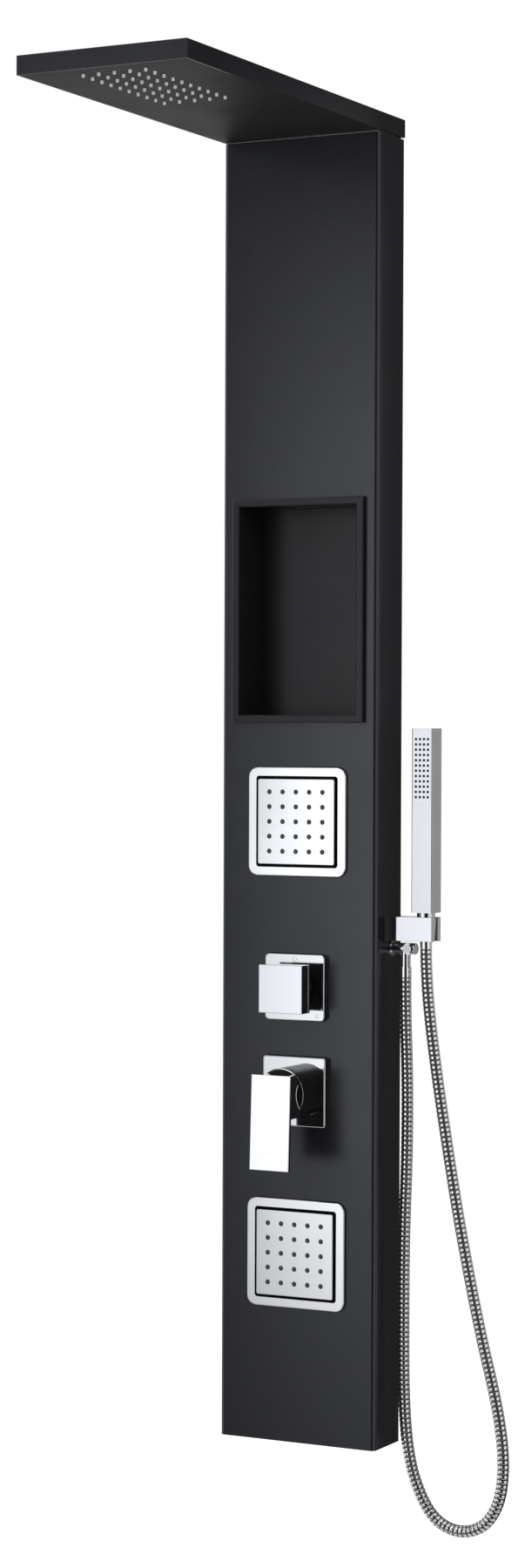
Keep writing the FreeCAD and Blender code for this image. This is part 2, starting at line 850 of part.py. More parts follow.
def make_head():
    """Head shell, soffit, nozzle mat, water box, feed pipe, bracket and bolts."""
    half = size.head_width / 2
    reach = -size.head_reach
    sheet = size.head_sheet
    gap = size.fit_gap
    shell = extrusion("head_block", "XY_Plane", rectangle((-half, half), (reach, 0)), head_floor, head_top)
    dress(shell, "Fillet", size.head_edge, runs_along("z"))
    dress(shell, "Fillet", size.head_edge, lies_at("z", size.head_thickness.value))
    hollow = block("head_hollow", (-half + sheet, half - sheet), (reach + sheet, -sheet),
                   (head_floor - sheet, head_top - sheet))
    finish(cut("head_shell", shell, hollow), "head_shell")

    across = size.rain_pitch_across
    along_head = size.rain_pitch_along
    first = (-across * (size.rain_columns - 1) / 2,
             -size.rain_centre_reach - along_head * (size.rain_rows - 1) / 2)
    counts = (size.rain_columns, size.rain_rows)
    x = half - sheet - gap
    soffit = extrusion("soffit_sheet", "XY_Plane", rectangle((-x, x), (reach + sheet + gap, -sheet - gap)),
                       head_floor, head_floor + sheet)
    add_grid(soffit, "soffit", "XY_Plane", first, (across, along_head), counts,
             size.rain_hole_radius, sheet * 4)
    feed_x = -size.head_feed_x
    bolts = head_bolt_spots()
    feed_hole = size.feed_pipe_radius + size.head_feed_slack
    cutters = [rod("soffit_feed_hole", "z", (feed_x, service), feed_hole,
                   head_floor - sheet, head_floor + sheet * 2)]
    for number, spot in enumerate(bolts):
        cutters.append(rod(f"soffit_bolt_hole_{number}", "z", spot, size.head_bolt_radius + gap,
                           head_floor - sheet, head_floor + sheet * 2))
    finish(cut("head_soffit", soffit, *cutters), "head_soffit")

    margin = size.water_box_margin
    box_x = across * (size.rain_columns - 1) / 2 + margin
    box_y = along_head * (size.rain_rows - 1) / 2 + margin
    box_front = -size.rain_centre_reach - box_y
    box_rear = -size.rain_centre_reach + box_y
    mat_floor = head_floor + sheet
    mat_top = mat_floor + size.mat_thickness
    mat = extrusion("rain_mat", "XY_Plane", rectangle((-box_x, box_x), (box_front, box_rear)),
                    mat_floor, mat_top)
    add_grid(mat, "rain", "XY_Plane", first, (across, along_head), counts, size.rain_tip_radius,
             sheet + size.rain_tip_length, size.rain_tip_taper)
    finish(mat, "head_nozzles")

    wall = size.water_box_wall
    box_top = mat_top + size.water_box_height
    feed_z = head_floor + size.head_feed_rise
    outer = block("water_box_outer", (-box_x, box_x), (box_front, box_rear), (mat_top, box_top))
    inner = block("water_box_inner", (-box_x + wall, box_x - wall), (box_front + wall, box_rear - wall),
                  (mat_top - wall, box_top - wall))
    inlet = rod("water_box_inlet", "y", (feed_x, feed_z), size.feed_pipe_bore, box_rear - wall * 2,
                box_rear + wall)
    finish(cut("head_water_box", outer, inner, inlet), "head_water_box")
    pipe_foot = foot + size.column_height - size.head_feed_drop
    tube("head_feed_pipe",
         [(feed_x, service, pipe_foot), (feed_x, service, feed_z), (feed_x, box_rear, feed_z)],
         size.feed_pipe_radius, size.feed_pipe_bore, size.head_feed_bend)

    plate_floor = head_floor - size.head_plate
    x = inner_half - gap
    rear = -size.column_wall * 2
    outer = block("head_bracket_outer", (-x, x), (-size.head_bracket_reach, rear),
                  (head_floor - size.head_flange, head_floor))
    inner = block("head_bracket_inner", (-x + size.head_plate, x - size.head_plate),
                  (-size.head_bracket_reach * 2, size.head_plate),
                  (head_floor - size.head_flange * 2, plate_floor))
    cutters = [inner, rod("bracket_feed_hole", "z", (feed_x, service), feed_hole,
                          plate_floor - gap, head_floor + gap)]
    for number, spot in enumerate(bolts):
        cutters.append(rod(f"bracket_bolt_hole_{number}", "z", spot, size.head_bolt_radius + gap,
                           plate_floor - gap, head_floor + gap))
    finish(cut("head_bracket", outer, *cutters), "head_bracket")
    head = size.head_bolt_head
    group = []
    for number, spot in enumerate(bolts):
        name = f"head_bolt_{number}"
        group.append(fuse(
            name,
            hexagon(f"{name}_head", "z", spot, size.head_bolt_head_radius, plate_floor - head, plate_floor),
            rod(f"{name}_shank", "z", spot, size.head_bolt_radius, plate_floor - head,
                mat_floor + head * 1.5),
            hexagon(f"{name}_nut", "z", spot, size.head_bolt_head_radius, mat_floor, mat_floor + head)))
    gather("head_bolts", group)


def head_bolt_spots():
    """The x and y of the four bolts that hold the head on its bracket."""
    x = size.head_bolt_x
    return [(-x, -size.head_bolt_front), (x, -size.head_bolt_front),
            (-x, -size.head_bolt_rear), (x, -size.head_bolt_rear)]


# ---------------------------------------------------------------- body jets

def make_jet(name, centre, inlet_sign):
    """One swivelling body jet; its inlet points down (-1) or up (+1)."""
    half = size.jet_frame_width / 2
    frame = plate(f"{name}_frame_plate", (-half, half), (centre - half, centre + half), front,
                  front - size.jet_frame_proud, size.jet_frame_corner, size.jet_frame_edge)
    hole = size.jet_opening / 2
    window = plate(f"{name}_frame_window", (-hole, hole), (centre - hole, centre + hole),
                   front + size.jet_frame_proud, front - size.jet_frame_proud * 2,
                   size.jet_opening_corner, None)
    finish(cut(f"{name}_frame", frame, window), f"{name}_frame")
    make_jet_housing(name, centre, inlet_sign)
    make_jet_head(name, centre)


def make_jet_housing(name, centre, inlet_sign):
    """Square tub behind the column's face, with the fixed ball on a neck and the inlet."""
    half = size.jet_housing_width / 2
    wall = size.jet_housing_wall
    rear = service - size.feed_hose_radius - size.hose_clearance
    floor = rear - size.jet_housing_floor
    pivot = front + size.jet_pivot_depth
    bore = size.jet_bore_radius
    axis = (0, centre)
    shell = block(f"{name}_tub", (-half, half), (front, rear), (centre - half, centre + half))
    hollow = block(f"{name}_tub_hollow", (-half + wall, half - wall), (front - wall, floor),
                   (centre - half + wall, centre + half - wall))
    boss_rear = rear + size.jet_boss_depth
    solid = fuse(
        f"{name}_tub_solid", cut(f"{name}_tub_shell", shell, hollow),
        rod(f"{name}_neck", "y", axis, size.jet_neck_radius, pivot, rear),
        ball(f"{name}_ball", (0, pivot, centre), size.jet_ball_radius),
        rod(f"{name}_boss", "y", axis, size.jet_boss_radius, floor, boss_rear),
        barb(f"{name}_inlet", centre, inlet_sign))
    channel = rod(f"{name}_channel", "y", axis, bore, pivot - size.jet_ball_radius * 2, service + bore / 2)
    finish(cut(f"{name}_housing", solid, channel, barb_bore(f"{name}_inlet_bore", centre, inlet_sign)),
           f"{name}_housing")


def barb(name, centre, sign):
    """Upright hose tail below (-1) or above (+1) a jet's boss."""
    tip = centre + size.jet_barb_end * sign
    start, end = (tip, centre) if sign < 0 else (centre, tip)
    return rod(name, "z", (0, service), size.barb_radius, start, end)


def barb_bore(name, centre, sign):
    """Bore of that hose tail, past the end of the channel that it feeds."""
    tip = centre + (size.jet_barb_end + size.fit_gap) * sign
    root = centre - (size.jet_bore_radius / 2) * sign
    start, end = (tip, root) if sign < 0 else (root, tip)
    return rod(name, "z", (0, service), size.jet_bore_radius, start, end)


def make_jet_head(name, centre):
    """Seal ring on the ball, and the moving face with its nozzle mat and back."""
    pivot = front + size.jet_pivot_depth
    middle = (0, pivot, centre)
    gap = size.running_gap
    seal_inner = size.jet_ball_radius + gap
    seal_outer = seal_inner + size.jet_seal_thickness
    socket_inner = seal_outer + gap
    rear = pivot + size.jet_socket_rear
    wide = size.jet_socket_radius * 2
    slab = block(f"{name}_seal_slab", (-wide, wide), (pivot - size.jet_seal_front, rear),
                 (centre - wide, centre + wide))
    shell = cut(f"{name}_seal_shell", ball(f"{name}_seal_outer", middle, seal_outer),
                ball(f"{name}_seal_inner", middle, seal_inner))
    ring = document.addObject("Part::Common", f"{name}_seal")
    ring.Base = shell
    ring.Tool = slab
    finish(ring, f"{name}_seal")

    face_front = front - size.jet_face_proud
    face_rear = face_front + size.jet_face_depth
    half = size.jet_face_width / 2
    sheet_rear = face_front + size.jet_face_sheet
    rim = half - size.jet_face_rim
    pitch = size.jet_pitch
    count = size.jet_count
    offset = -pitch * (count - 1) / 2
    first = (offset, centre + offset)
    face = plate(f"{name}_face_plate", (-half, half), (centre - half, centre + half), face_rear, face_front,
                 size.jet_face_corner, size.jet_face_edge)
    add_grid(face, f"{name}_face", "XZ_Plane", first, (pitch, pitch), (count, count),
             size.jet_hole_radius, size.jet_face_depth * 4)
    hollow = block(f"{name}_face_hollow", (-rim, rim), (sheet_rear, face_rear + size.jet_face_rim),
                   (centre - rim, centre + rim))
    finish(cut(f"{name}_face", face, hollow), f"{name}_face")

    inner = rim - size.fit_gap
    mat_rear = sheet_rear + size.mat_thickness
    mat = extrusion(f"{name}_mat", "XZ_Plane", rectangle((-inner, inner), (centre - inner, centre + inner)),
                    mat_rear, sheet_rear)
    add_grid(mat, f"{name}_mat", "XZ_Plane", first, (pitch, pitch), (count, count), size.jet_tip_radius,
             size.mat_thickness + size.jet_face_sheet + size.jet_tip_proud, size.jet_tip_taper)
    finish(mat, f"{name}_nozzles")

    back_rear = mat_rear + size.jet_back_thickness
    disc = block(f"{name}_back_plate", (-inner, inner), (mat_rear, back_rear),
                 (centre - inner, centre + inner))
    socket = rod(f"{name}_socket", "y", (0, centre), size.jet_socket_radius, mat_rear, rear)
    chamber = inner - size.jet_chamber_rim
    back = cut(f"{name}_back", fuse(f"{name}_back_solid", disc, socket),
               block(f"{name}_chamber", (-chamber, chamber),
                     (mat_rear - size.fit_gap, mat_rear + size.jet_chamber_depth),
                     (centre - chamber, centre + chamber)),
               ball(f"{name}_socket_hollow", middle, socket_inner),
               rod(f"{name}_back_channel", "y", (0, centre), size.jet_bore_radius,
                   mat_rear - size.fit_gap, pivot))
    finish(back, f"{name}_back")


# ---------------------------------------------------------------- diverter

def make_diverter():
    """Outlet selector: valve body, cartridge, nut, plate and collar, and the square knob."""
    centre = diverter_level
    axis = (0, centre)
    gap = size.fit_gap
    neck_front = front - size.valve_neck_proud
    cartridge_rear = front + size.diverter_cartridge_depth
    rise = size.diverter_port_rise
    end = size.diverter_port_end
    offset = size.diverter_drill_offset
    ports = {
        "left_upper": ("x", (service, centre + rise), -1, (-offset, centre + rise)),
        "left_lower": ("x", (service, centre - rise), -1, (-offset, centre - rise)),
        "right": ("x", (service, centre), 1, (offset, centre)),
        "top": ("z", (0, service), 1, (0, centre + offset)),
        "bottom": ("z", (0, service), -1, (0, centre - offset)),
    }
    solids = [
        rod("diverter_block", "y", axis, size.diverter_body_radius, inner_front, -size.diverter_body_rear),
        rod("diverter_neck", "y", axis, size.valve_neck_radius, neck_front, inner_front)]
    bores = [rod("diverter_cavity", "y", axis, size.diverter_cartridge_radius + gap,
                 neck_front - gap, cartridge_rear)]
    for name, (direction, across, sign, drilling) in ports.items():
        middle = length(0) if direction == "x" else centre
        root = middle + offset * sign
        tip = middle + end * sign
        spans = [(root, tip), (root - (size.diverter_drill_radius / 2) * sign, tip + gap * sign)]
        tail, bore = [span if sign > 0 else (span[1], span[0]) for span in spans]
        solids.append(rod(f"diverter_{name}_port", direction, across, size.barb_radius, *tail))
        bores.append(rod(f"diverter_{name}_bore", direction, across, size.barb_bore, *bore))
        bores.append(rod(f"diverter_{name}_drilling", "y", drilling, size.diverter_drill_radius,
                         cartridge_rear - gap, service))
    finish(cut("diverter_body", fuse("diverter_casting", *solids), *bores), "diverter_body")

    plate_front = front - size.diverter_plate_proud
    nose_front = front - size.diverter_nose_proud
    spindle_rear = front - size.spindle_root
    nose = fuse("diverter_cartridge_solid",
                rod("diverter_cartridge_barrel", "y", axis, size.diverter_cartridge_radius,
                    neck_front, cartridge_rear),
                rod("diverter_cartridge_nose", "y", axis, size.diverter_nose_radius, nose_front, neck_front))
    finish(cut("diverter_cartridge", nose,
               rod("diverter_spindle_hole", "y", axis, size.spindle_radius + size.running_gap,
                   nose_front - gap, spindle_rear + size.running_gap)), "diverter_cartridge")
    half = size.diverter_plate / 2
    blank = plate("diverter_plate_blank", (-half, half), (centre - half, centre + half), front, plate_front,
                  size.diverter_plate_corner, size.diverter_plate_edge)
    collar_front = front - size.diverter_collar_proud
    collar = rod("diverter_collar", "y", axis, size.diverter_collar_radius, collar_front, plate_front)
    finish(cut("diverter_plate", fuse("diverter_plate_solid", blank, collar),
               rod("diverter_plate_recess", "y", axis, size.valve_nut_radius + gap,
                   neck_front - gap, front + gap),
               rod("diverter_plate_hole", "y", axis, size.diverter_nose_radius + gap,
                   collar_front - gap, front)),
           "diverter_plate")

    spindle_front = front - size.spindle_tip
    finish(rod("diverter_spindle", "y", axis, size.spindle_radius, spindle_front, spindle_rear),
           "diverter_spindle")
    knob_rear = collar_front - size.knob_gap
    knob_front = knob_rear - size.knob_depth
    half = size.knob_width / 2
    knob = plate("diverter_knob_block", (-half, half), (centre - half, centre + half), knob_rear, knob_front,
                 size.knob_edge, size.knob_edge)
    screw_y = knob_rear - size.knob_depth / 3
    screw = (0, screw_y)
    finish(cut("diverter_knob", knob,
               rod("diverter_knob_bore", "y", axis, size.spindle_radius, spindle_front, knob_rear + gap),
               rod("diverter_screw_hole", "z", screw, size.knob_screw_radius, centre - half - gap, centre)),
           "diverter_knob")
    finish(rod("diverter_knob_screw", "z", screw, size.knob_screw_radius, centre - half + size.knob_edge,
               centre - size.spindle_radius), "diverter_knob_screw")


def make_valve_nuts():
    """The two alike nuts that clamp the valve bodies to the column's face."""
    nut_front = front - size.valve_nut_thickness
    gap = size.fit_gap
    nuts = []
    for name, centre in (("diverter", diverter_level), ("mixer", mixer_level)):
        axis = (0, centre)
        nuts.append(cut(f"{name}_nut",
                        hexagon(f"{name}_nut_blank", "y", axis, size.valve_nut_radius, nut_front, front),
                        rod(f"{name}_nut_hole", "y", axis, size.valve_neck_radius + gap,
                            nut_front - gap, front + gap)))
    gather("valve_nuts", nuts)


# ---------------------------------------------------------------- mixer

def make_mixer():
    """Mixing valve: body, cartridge, nut, plate and sleeve, then the guide and the lever."""
    centre = mixer_level
    axis = (0, centre)
    gap = size.fit_gap
    half = size.mixer_body_width / 2
    neck_front = front - size.valve_neck_proud
    cartridge_rear = front + size.mixer_cartridge_depth
    supply = -size.supply_depth
    end = size.mixer_port_end
    inlet = (supply, centre)
    solids = [
        block("mixer_block", (-half, half), (inner_front, -size.mixer_body_rear),
              (centre - half, centre + half)),
        rod("mixer_neck", "y", axis, size.valve_neck_radius, neck_front, inner_front),
        rod("mixer_inlets", "x", inlet, size.mixer_inlet_radius, -end, end),
        rod("mixer_outlet", "z", (0, service), size.barb_radius, centre, centre + end)]
    bores = [
        rod("mixer_cavity", "y", axis, size.mixer_cartridge_radius + gap, neck_front - gap, cartridge_rear),
        rod("mixer_inlet_bore", "x", inlet, size.supply_hose_bore, -end - gap, end + gap),
        rod("mixer_outlet_bore", "z", (0, service), size.barb_bore, centre, centre + end + gap),
        rod("mixer_drilling", "y", axis, size.barb_bore, cartridge_rear - gap, service)]
    finish(cut("mixer_body", fuse("mixer_casting", *solids), *bores), "mixer_body")

    cartridge_front = front - size.mixer_cartridge_proud
    guide_front = cartridge_front + size.running_gap
    guide_rear = guide_front + size.guide_thickness
    finish(cut("mixer_cartridge",
               rod("mixer_cartridge_barrel", "y", axis, size.mixer_cartridge_radius,
                   cartridge_front, cartridge_rear),
               rod("mixer_guide_seat", "y", axis, size.guide_radius + size.running_gap, cartridge_front - gap,
                   guide_rear + size.running_gap)), "mixer_cartridge")
    plate_front = front - size.mixer_plate_proud
    half = size.mixer_plate / 2
    blank = plate("mixer_plate_blank", (-half, half), (centre - half, centre + half), front, plate_front,
                  size.mixer_plate_corner, size.mixer_plate_edge)
    finish(cut("mixer_plate", blank,
               rod("mixer_plate_recess", "y", axis, size.valve_nut_radius + gap,
                   neck_front - gap, front + gap),
               rod("mixer_plate_hole", "y", axis, size.mixer_cartridge_radius + gap,
                   plate_front - gap, front)),
           "mixer_plate")
    make_sleeve(axis, plate_front)
    make_lever(centre, guide_front, guide_rear)


def make_sleeve(axis, plate_front):
    """Round decorative sleeve on the mixer plate, with an inward front lip."""
    sleeve_front = front - size.mixer_sleeve_proud
    wall = size.mixer_sleeve_wall
    gap = size.fit_gap
    outer = rod("mixer_sleeve_rod", "y", axis, size.mixer_sleeve_radius, sleeve_front, plate_front)
    rim = document.addObject("Part::Fillet", "mixer_sleeve_rim")
    document.recompute()
    rim.Base = outer
    front_ring = [number for number, edge in enumerate(outer.Shape.Edges, start=1)
                  if lies_at("y", sleeve_front.value)(edge)]
    radius = size.mixer_sleeve_edge.value
    rim.Edges = [(number, radius, radius) for number in front_ring]
    finish(cut("mixer_sleeve", rim,
               rod("mixer_sleeve_hollow", "y", axis, size.mixer_sleeve_radius - wall,
                   sleeve_front + wall, plate_front + gap),
               rod("mixer_sleeve_mouth", "y", axis, size.mixer_sleeve_mouth,
                   sleeve_front - gap, plate_front)),
           "mixer_sleeve")


def make_lever(centre, guide_front, guide_rear):
    """Turning guide in the cartridge; stem, lift pin, lever and its grub screw."""
    axis = (0, centre)
    gap = size.running_gap
    pivot = front - size.lift_pivot_proud
    slot_half = size.stem_width / 2 + gap
    slot_rise = size.guide_slot_height / 2
    pin_axis = (pivot, centre)
    finish(cut("mixer_guide",
               rod("mixer_guide_disc", "y", axis, size.guide_radius, guide_front, guide_rear),
               block("mixer_guide_slot", (-slot_half, slot_half), (guide_front - gap, guide_rear + gap),
                     (centre - slot_rise, centre + slot_rise)),
               rod("mixer_guide_pin_hole", "x", pin_axis, size.lift_pin_radius + gap,
                   -size.lift_pin_length / 2 - gap, size.lift_pin_length / 2 + gap)),
           "mixer_guide")
    half_stem = size.stem_width / 2
    stem_front = front - size.stem_tip
    finish(fuse("mixer_stem",
                block("mixer_stem_bar", (-half_stem, half_stem), (stem_front, front - size.stem_root),
                      (centre - half_stem, centre + half_stem)),
                rod("mixer_lift_pin", "x", pin_axis, size.lift_pin_radius,
                    -size.lift_pin_length / 2, size.lift_pin_length / 2)), "mixer_stem")
    hub_rear = front - size.mixer_sleeve_proud - gap
    top = centre + size.lever_rise
    bottom = centre - size.lever_drop
    hub_floor = centre - size.lever_hub_drop
    thin = size.lever_thickness
    lean = (size.lever_bottom_proud - size.lever_top_proud) / (size.lever_rise + size.lever_drop)
    top_front = front - size.lever_top_proud
    bottom_front = front - size.lever_bottom_proud
    hub_front = top_front - lean * (size.lever_rise + size.lever_hub_drop)
    profile = [
        (top_front, top), (bottom_front, bottom),
        (thin + bottom_front, bottom), (hub_front + thin, hub_floor), (hub_rear, hub_floor),
        (hub_rear, centre - size.lever_relief_drop), (hub_rear - size.lever_relief_depth, top)]
    half = size.lever_width / 2
    body = extrusion("mixer_lever_blank", "YZ_Plane", profile, -half, half)
    dress(body, "Fillet", size.lever_edge, lever_front_edges)
    screw = (0, front - size.lever_screw_proud)
    finish(cut("mixer_lever", body,
               block("mixer_lever_socket", (-half_stem, half_stem), (stem_front, hub_rear + gap),
                     (centre - half_stem, centre + half_stem)),
               rod("mixer_lever_screw_hole", "z", screw, size.lever_screw_radius, hub_floor - gap, centre)),
           "mixer_lever")
    finish(rod("mixer_lever_screw", "z", screw, size.lever_screw_radius, hub_floor + size.lever_edge,
               centre - half_stem), "mixer_lever_screw")


def lever_front_edges(edge):
    """Test for the edges round the front face of the lever."""
    limit = (front - size.lever_top_proud).value + size.lever_edge.value / 2
    return all(vertex.Point.y < limit for vertex in edge.Vertexes) and not behind_lever_face(edge)


def behind_lever_face(edge):
    """Test for the lower rear edges of the lever's thin blade."""
    lean = size.lever_bottom_proud.value - size.lever_top_proud.value
    top_front = (front - size.lever_top_proud).value
    tall = size.lever_rise.value + size.lever_drop.value
    for vertex in edge.Vertexes:
        spot = vertex.Point
        drop = (mixer_level + size.lever_rise).value - spot.z
        if spot.y > top_front - lean * drop / tall + size.lever_thickness.value / 2:
            return True
    return False


# ---------------------------------------------------------------- holder, elbow, hand shower

def make_holder():
    """Base plate, slotted block with its conical seat, and the two screws behind it."""
    low = holder_low
    high = low + size.holder_rise
    base_x = half_width + size.base_plate_thickness
    end_x = base_x + size.holder_length
    depth = size.holder_depth / 2
    gap = size.running_gap
    screws = holder_screw_heights()
    screw_tip = half_width + size.holder_screw_length
    shank_holes = [rod(f"{name}_plate_hole", "x", (service, height), size.holder_screw_radius + size.fit_gap,
                       half_width - gap, base_x + gap) for name, height in screws]
    leaf = block("holder_leaf", (half_width, base_x),
                 (-size.base_plate_front, -size.base_plate_rear), (low, high))
    finish(cut("holder_base_plate", leaf, *shank_holes), "holder_base_plate")
    body = extrusion("holder_blank", "XZ_Plane", rectangle((base_x, end_x), (low, high)),
                     service + depth, service - depth)
    dress(body, "Fillet", size.holder_edge, lambda edge: edge.BoundBox.XMax > end_x.value - 1e-4)
    spot = (handset_x, service)
    slot = size.holder_slot / 2
    tools = [
        taper("holder_seat", "z", spot,
              (size.cone_bottom_radius + gap, size.cone_top_radius + gap), low, high),
        block("holder_slot", (handset_x, end_x + gap),
              (service - slot, service + slot), (low - gap, high + gap))]
    for name, height in screws:
        tools.append(rod(f"{name}_block_hole", "x", (service, height), size.holder_screw_radius,
                         base_x - gap, screw_tip))
    finish(cut("holder_block", body, *tools), "holder_block")
    head_start = inner_half - size.holder_screw_head
    group = []
    for name, height in screws:
        across = (service, height)
        group.append(fuse(
            name,
            rod(f"{name}_shank", "x", across, size.holder_screw_radius, inner_half, screw_tip),
            rod(f"{name}_head", "x", across, size.holder_screw_head_radius, head_start, inner_half)))
    gather("holder_screws", group)


def elbow_barb_end():
    """Inner end of the outlet elbow's hose tail."""
    return half_width - size.elbow_shank_length - size.elbow_barb_length


def make_elbow():
    """Water outlet through the side wall, its plug, locknut and the hose ferrule."""
    height = elbow_level
    across = (service, height)
    gap = size.fit_gap
    nose_end = half_width + size.elbow_reach
    barrel = rod("elbow_barrel", "x", across, size.elbow_radius, half_width, nose_end)
    document.recompute()
    nose = document.addObject("Part::Fillet", "elbow_nose")
    nose.Base = barrel
    radius = size.elbow_edge.value
    nose.Edges = [(number, radius, radius) for number, edge in enumerate(barrel.Shape.Edges, start=1)
                  if lies_at("x", nose_end.value)(edge)]
    ferrule_top = hose_start + size.ferrule_height
    plug_axis = (hose_x + size.plug_offset, height)
    boss_front = service - size.plug_boss_length
    shank_end = half_width - size.elbow_shank_length
    barb_end = elbow_barb_end()
    solid = fuse(
        "elbow_solid", nose,
        rod("elbow_flange", "x", across, size.elbow_flange_radius,
            half_width, half_width + size.elbow_flange),
        rod("elbow_shank", "x", across, size.elbow_shank_radius, shank_end, half_width),
        rod("elbow_barb", "x", across, size.barb_radius, barb_end, shank_end),
        rod("elbow_leg", "z", (hose_x, service), size.ferrule_radius, ferrule_top, height),
        rod("elbow_plug_boss", "y", plug_axis, size.plug_boss_radius, boss_front, service))
    finish(cut("outlet_elbow", solid,
               rod("elbow_bore_x", "x", across, size.elbow_bore, barb_end - gap,
                   hose_x + size.elbow_bore / 2),
               rod("elbow_bore_z", "z", (hose_x, service), size.elbow_bore, ferrule_top - gap,
                   height + size.elbow_bore / 2),
               rod("elbow_plug_hole", "y", plug_axis, size.plug_shank_radius, boss_front - gap,
                   boss_front + size.plug_shank_length)), "outlet_elbow")
    finish(fuse("outlet_plug",
                rod("plug_cap", "y", plug_axis, size.plug_radius,
                    boss_front - size.plug_cap, boss_front),
                rod("plug_shank", "y", plug_axis, size.plug_shank_radius, boss_front,
                    boss_front + size.plug_shank_length)), "outlet_plug")
    nut_start = inner_half - size.elbow_nut_thickness
    finish(cut("outlet_locknut",
               hexagon("locknut_blank", "x", across, size.elbow_nut_radius, nut_start, inner_half),
               rod("locknut_hole", "x", across, size.elbow_shank_radius, nut_start - gap, inner_half + gap)),
           "outlet_locknut")
    spot = (hose_x, service)
    finish(cut("hose_ferrule",
               rod("ferrule_rod", "z", spot, size.ferrule_radius, hose_start, ferrule_top),
               rod("ferrule_bore", "z", spot, size.elbow_bore, hose_start - gap, ferrule_top + gap)),
           "hose_ferrule")


def make_handset():
    """Cone nut on the hose, and the square hand shower that screws on it."""
    spot = (handset_x, service)
    gap = size.running_gap
    seat_top = holder_low + size.holder_rise
    collar_floor = seat_top + gap
    collar_top = collar_floor + size.cone_collar_height
    cone_floor = seat_top - size.cone_nut_drop
    slope = (size.cone_top_radius - size.cone_bottom_radius) / size.holder_rise
    floor_radius = size.cone_top_radius - slope * size.cone_nut_drop
    spigot_top = collar_top + size.cone_spigot_height
    finish(cut("hose_cone_nut",
               fuse("cone_nut_solid",
                    taper("cone_nut_cone", "z", spot, (floor_radius, size.cone_top_radius),
                          cone_floor, seat_top),
                    rod("cone_nut_waist", "z", spot, size.cone_top_radius, seat_top, collar_floor),
                    rod("cone_nut_collar", "z", spot, size.cone_collar_radius, collar_floor, collar_top),
                    rod("cone_nut_spigot", "z", spot, size.cone_spigot_radius, collar_top, spigot_top)),
               rod("cone_nut_bore", "z", spot, size.hose_bore_radius, cone_floor - gap, spigot_top + gap)),
           "hose_cone_nut")

    low = collar_top + gap
    high = low + size.handset_height
    half = size.handset_width / 2
    x = handset_x
    outline = rectangle((x - half, x + half), (service - half, service + half))
    body = extrusion("handset_blank", "XY_Plane", outline, low, high)
    dress(body, "Fillet", size.handset_corner, runs_along("z"))
    face_half = size.handset_face_width / 2
    face_high = high - size.handset_face_top
    face_low = face_high - size.handset_face_height
    handset_front = service - half
    face_rear = handset_front + size.handset_face_thickness
    mat_rear = face_rear + size.mat_thickness
    pocket = block("handset_pocket", (x - face_half, x + face_half),
                   (handset_front - gap, mat_rear), (face_low, face_high))
    edge = size.handset_face_top
    chamber = block("handset_chamber", (x - face_half + edge, x + face_half - edge),
                    (mat_rear, mat_rear + size.handset_chamber_depth), (face_low + edge, face_high - edge))
    finish(cut("handset_body", body, pocket, chamber,
               rod("handset_socket", "z", spot, size.cone_spigot_radius + gap, low - gap, spigot_top + gap),
               rod("handset_channel", "z", spot, size.handset_bore, low, face_low + edge * 2)),
           "handset_body")
    pitches = (size.spray_pitch_across, size.spray_pitch_along)
    counts = (size.spray_columns, size.spray_rows)
    first = (x - pitches[0] * (counts[0] - 1) / 2, high - size.spray_top - pitches[1] * (counts[1] - 1))
    slack = size.fit_gap / 2
    outline = rectangle((x - face_half + slack, x + face_half - slack), (face_low + slack, face_high - slack))
    face = extrusion("handset_face_blank", "XZ_Plane", outline, face_rear, handset_front)
    add_grid(face, "handset_face", "XZ_Plane", first, pitches, counts, size.spray_hole_radius,
             size.handset_face_thickness * 4)
    finish(face, "handset_face")
    mat = extrusion("handset_mat", "XZ_Plane", outline, mat_rear, face_rear)
    add_grid(mat, "handset_mat", "XZ_Plane", first, pitches, counts, size.spray_tip_radius,
             size.mat_thickness + size.handset_face_thickness + size.spray_tip_proud, size.spray_tip_taper)
    finish(mat, "handset_nozzles")


# ---------------------------------------------------------------- hoses

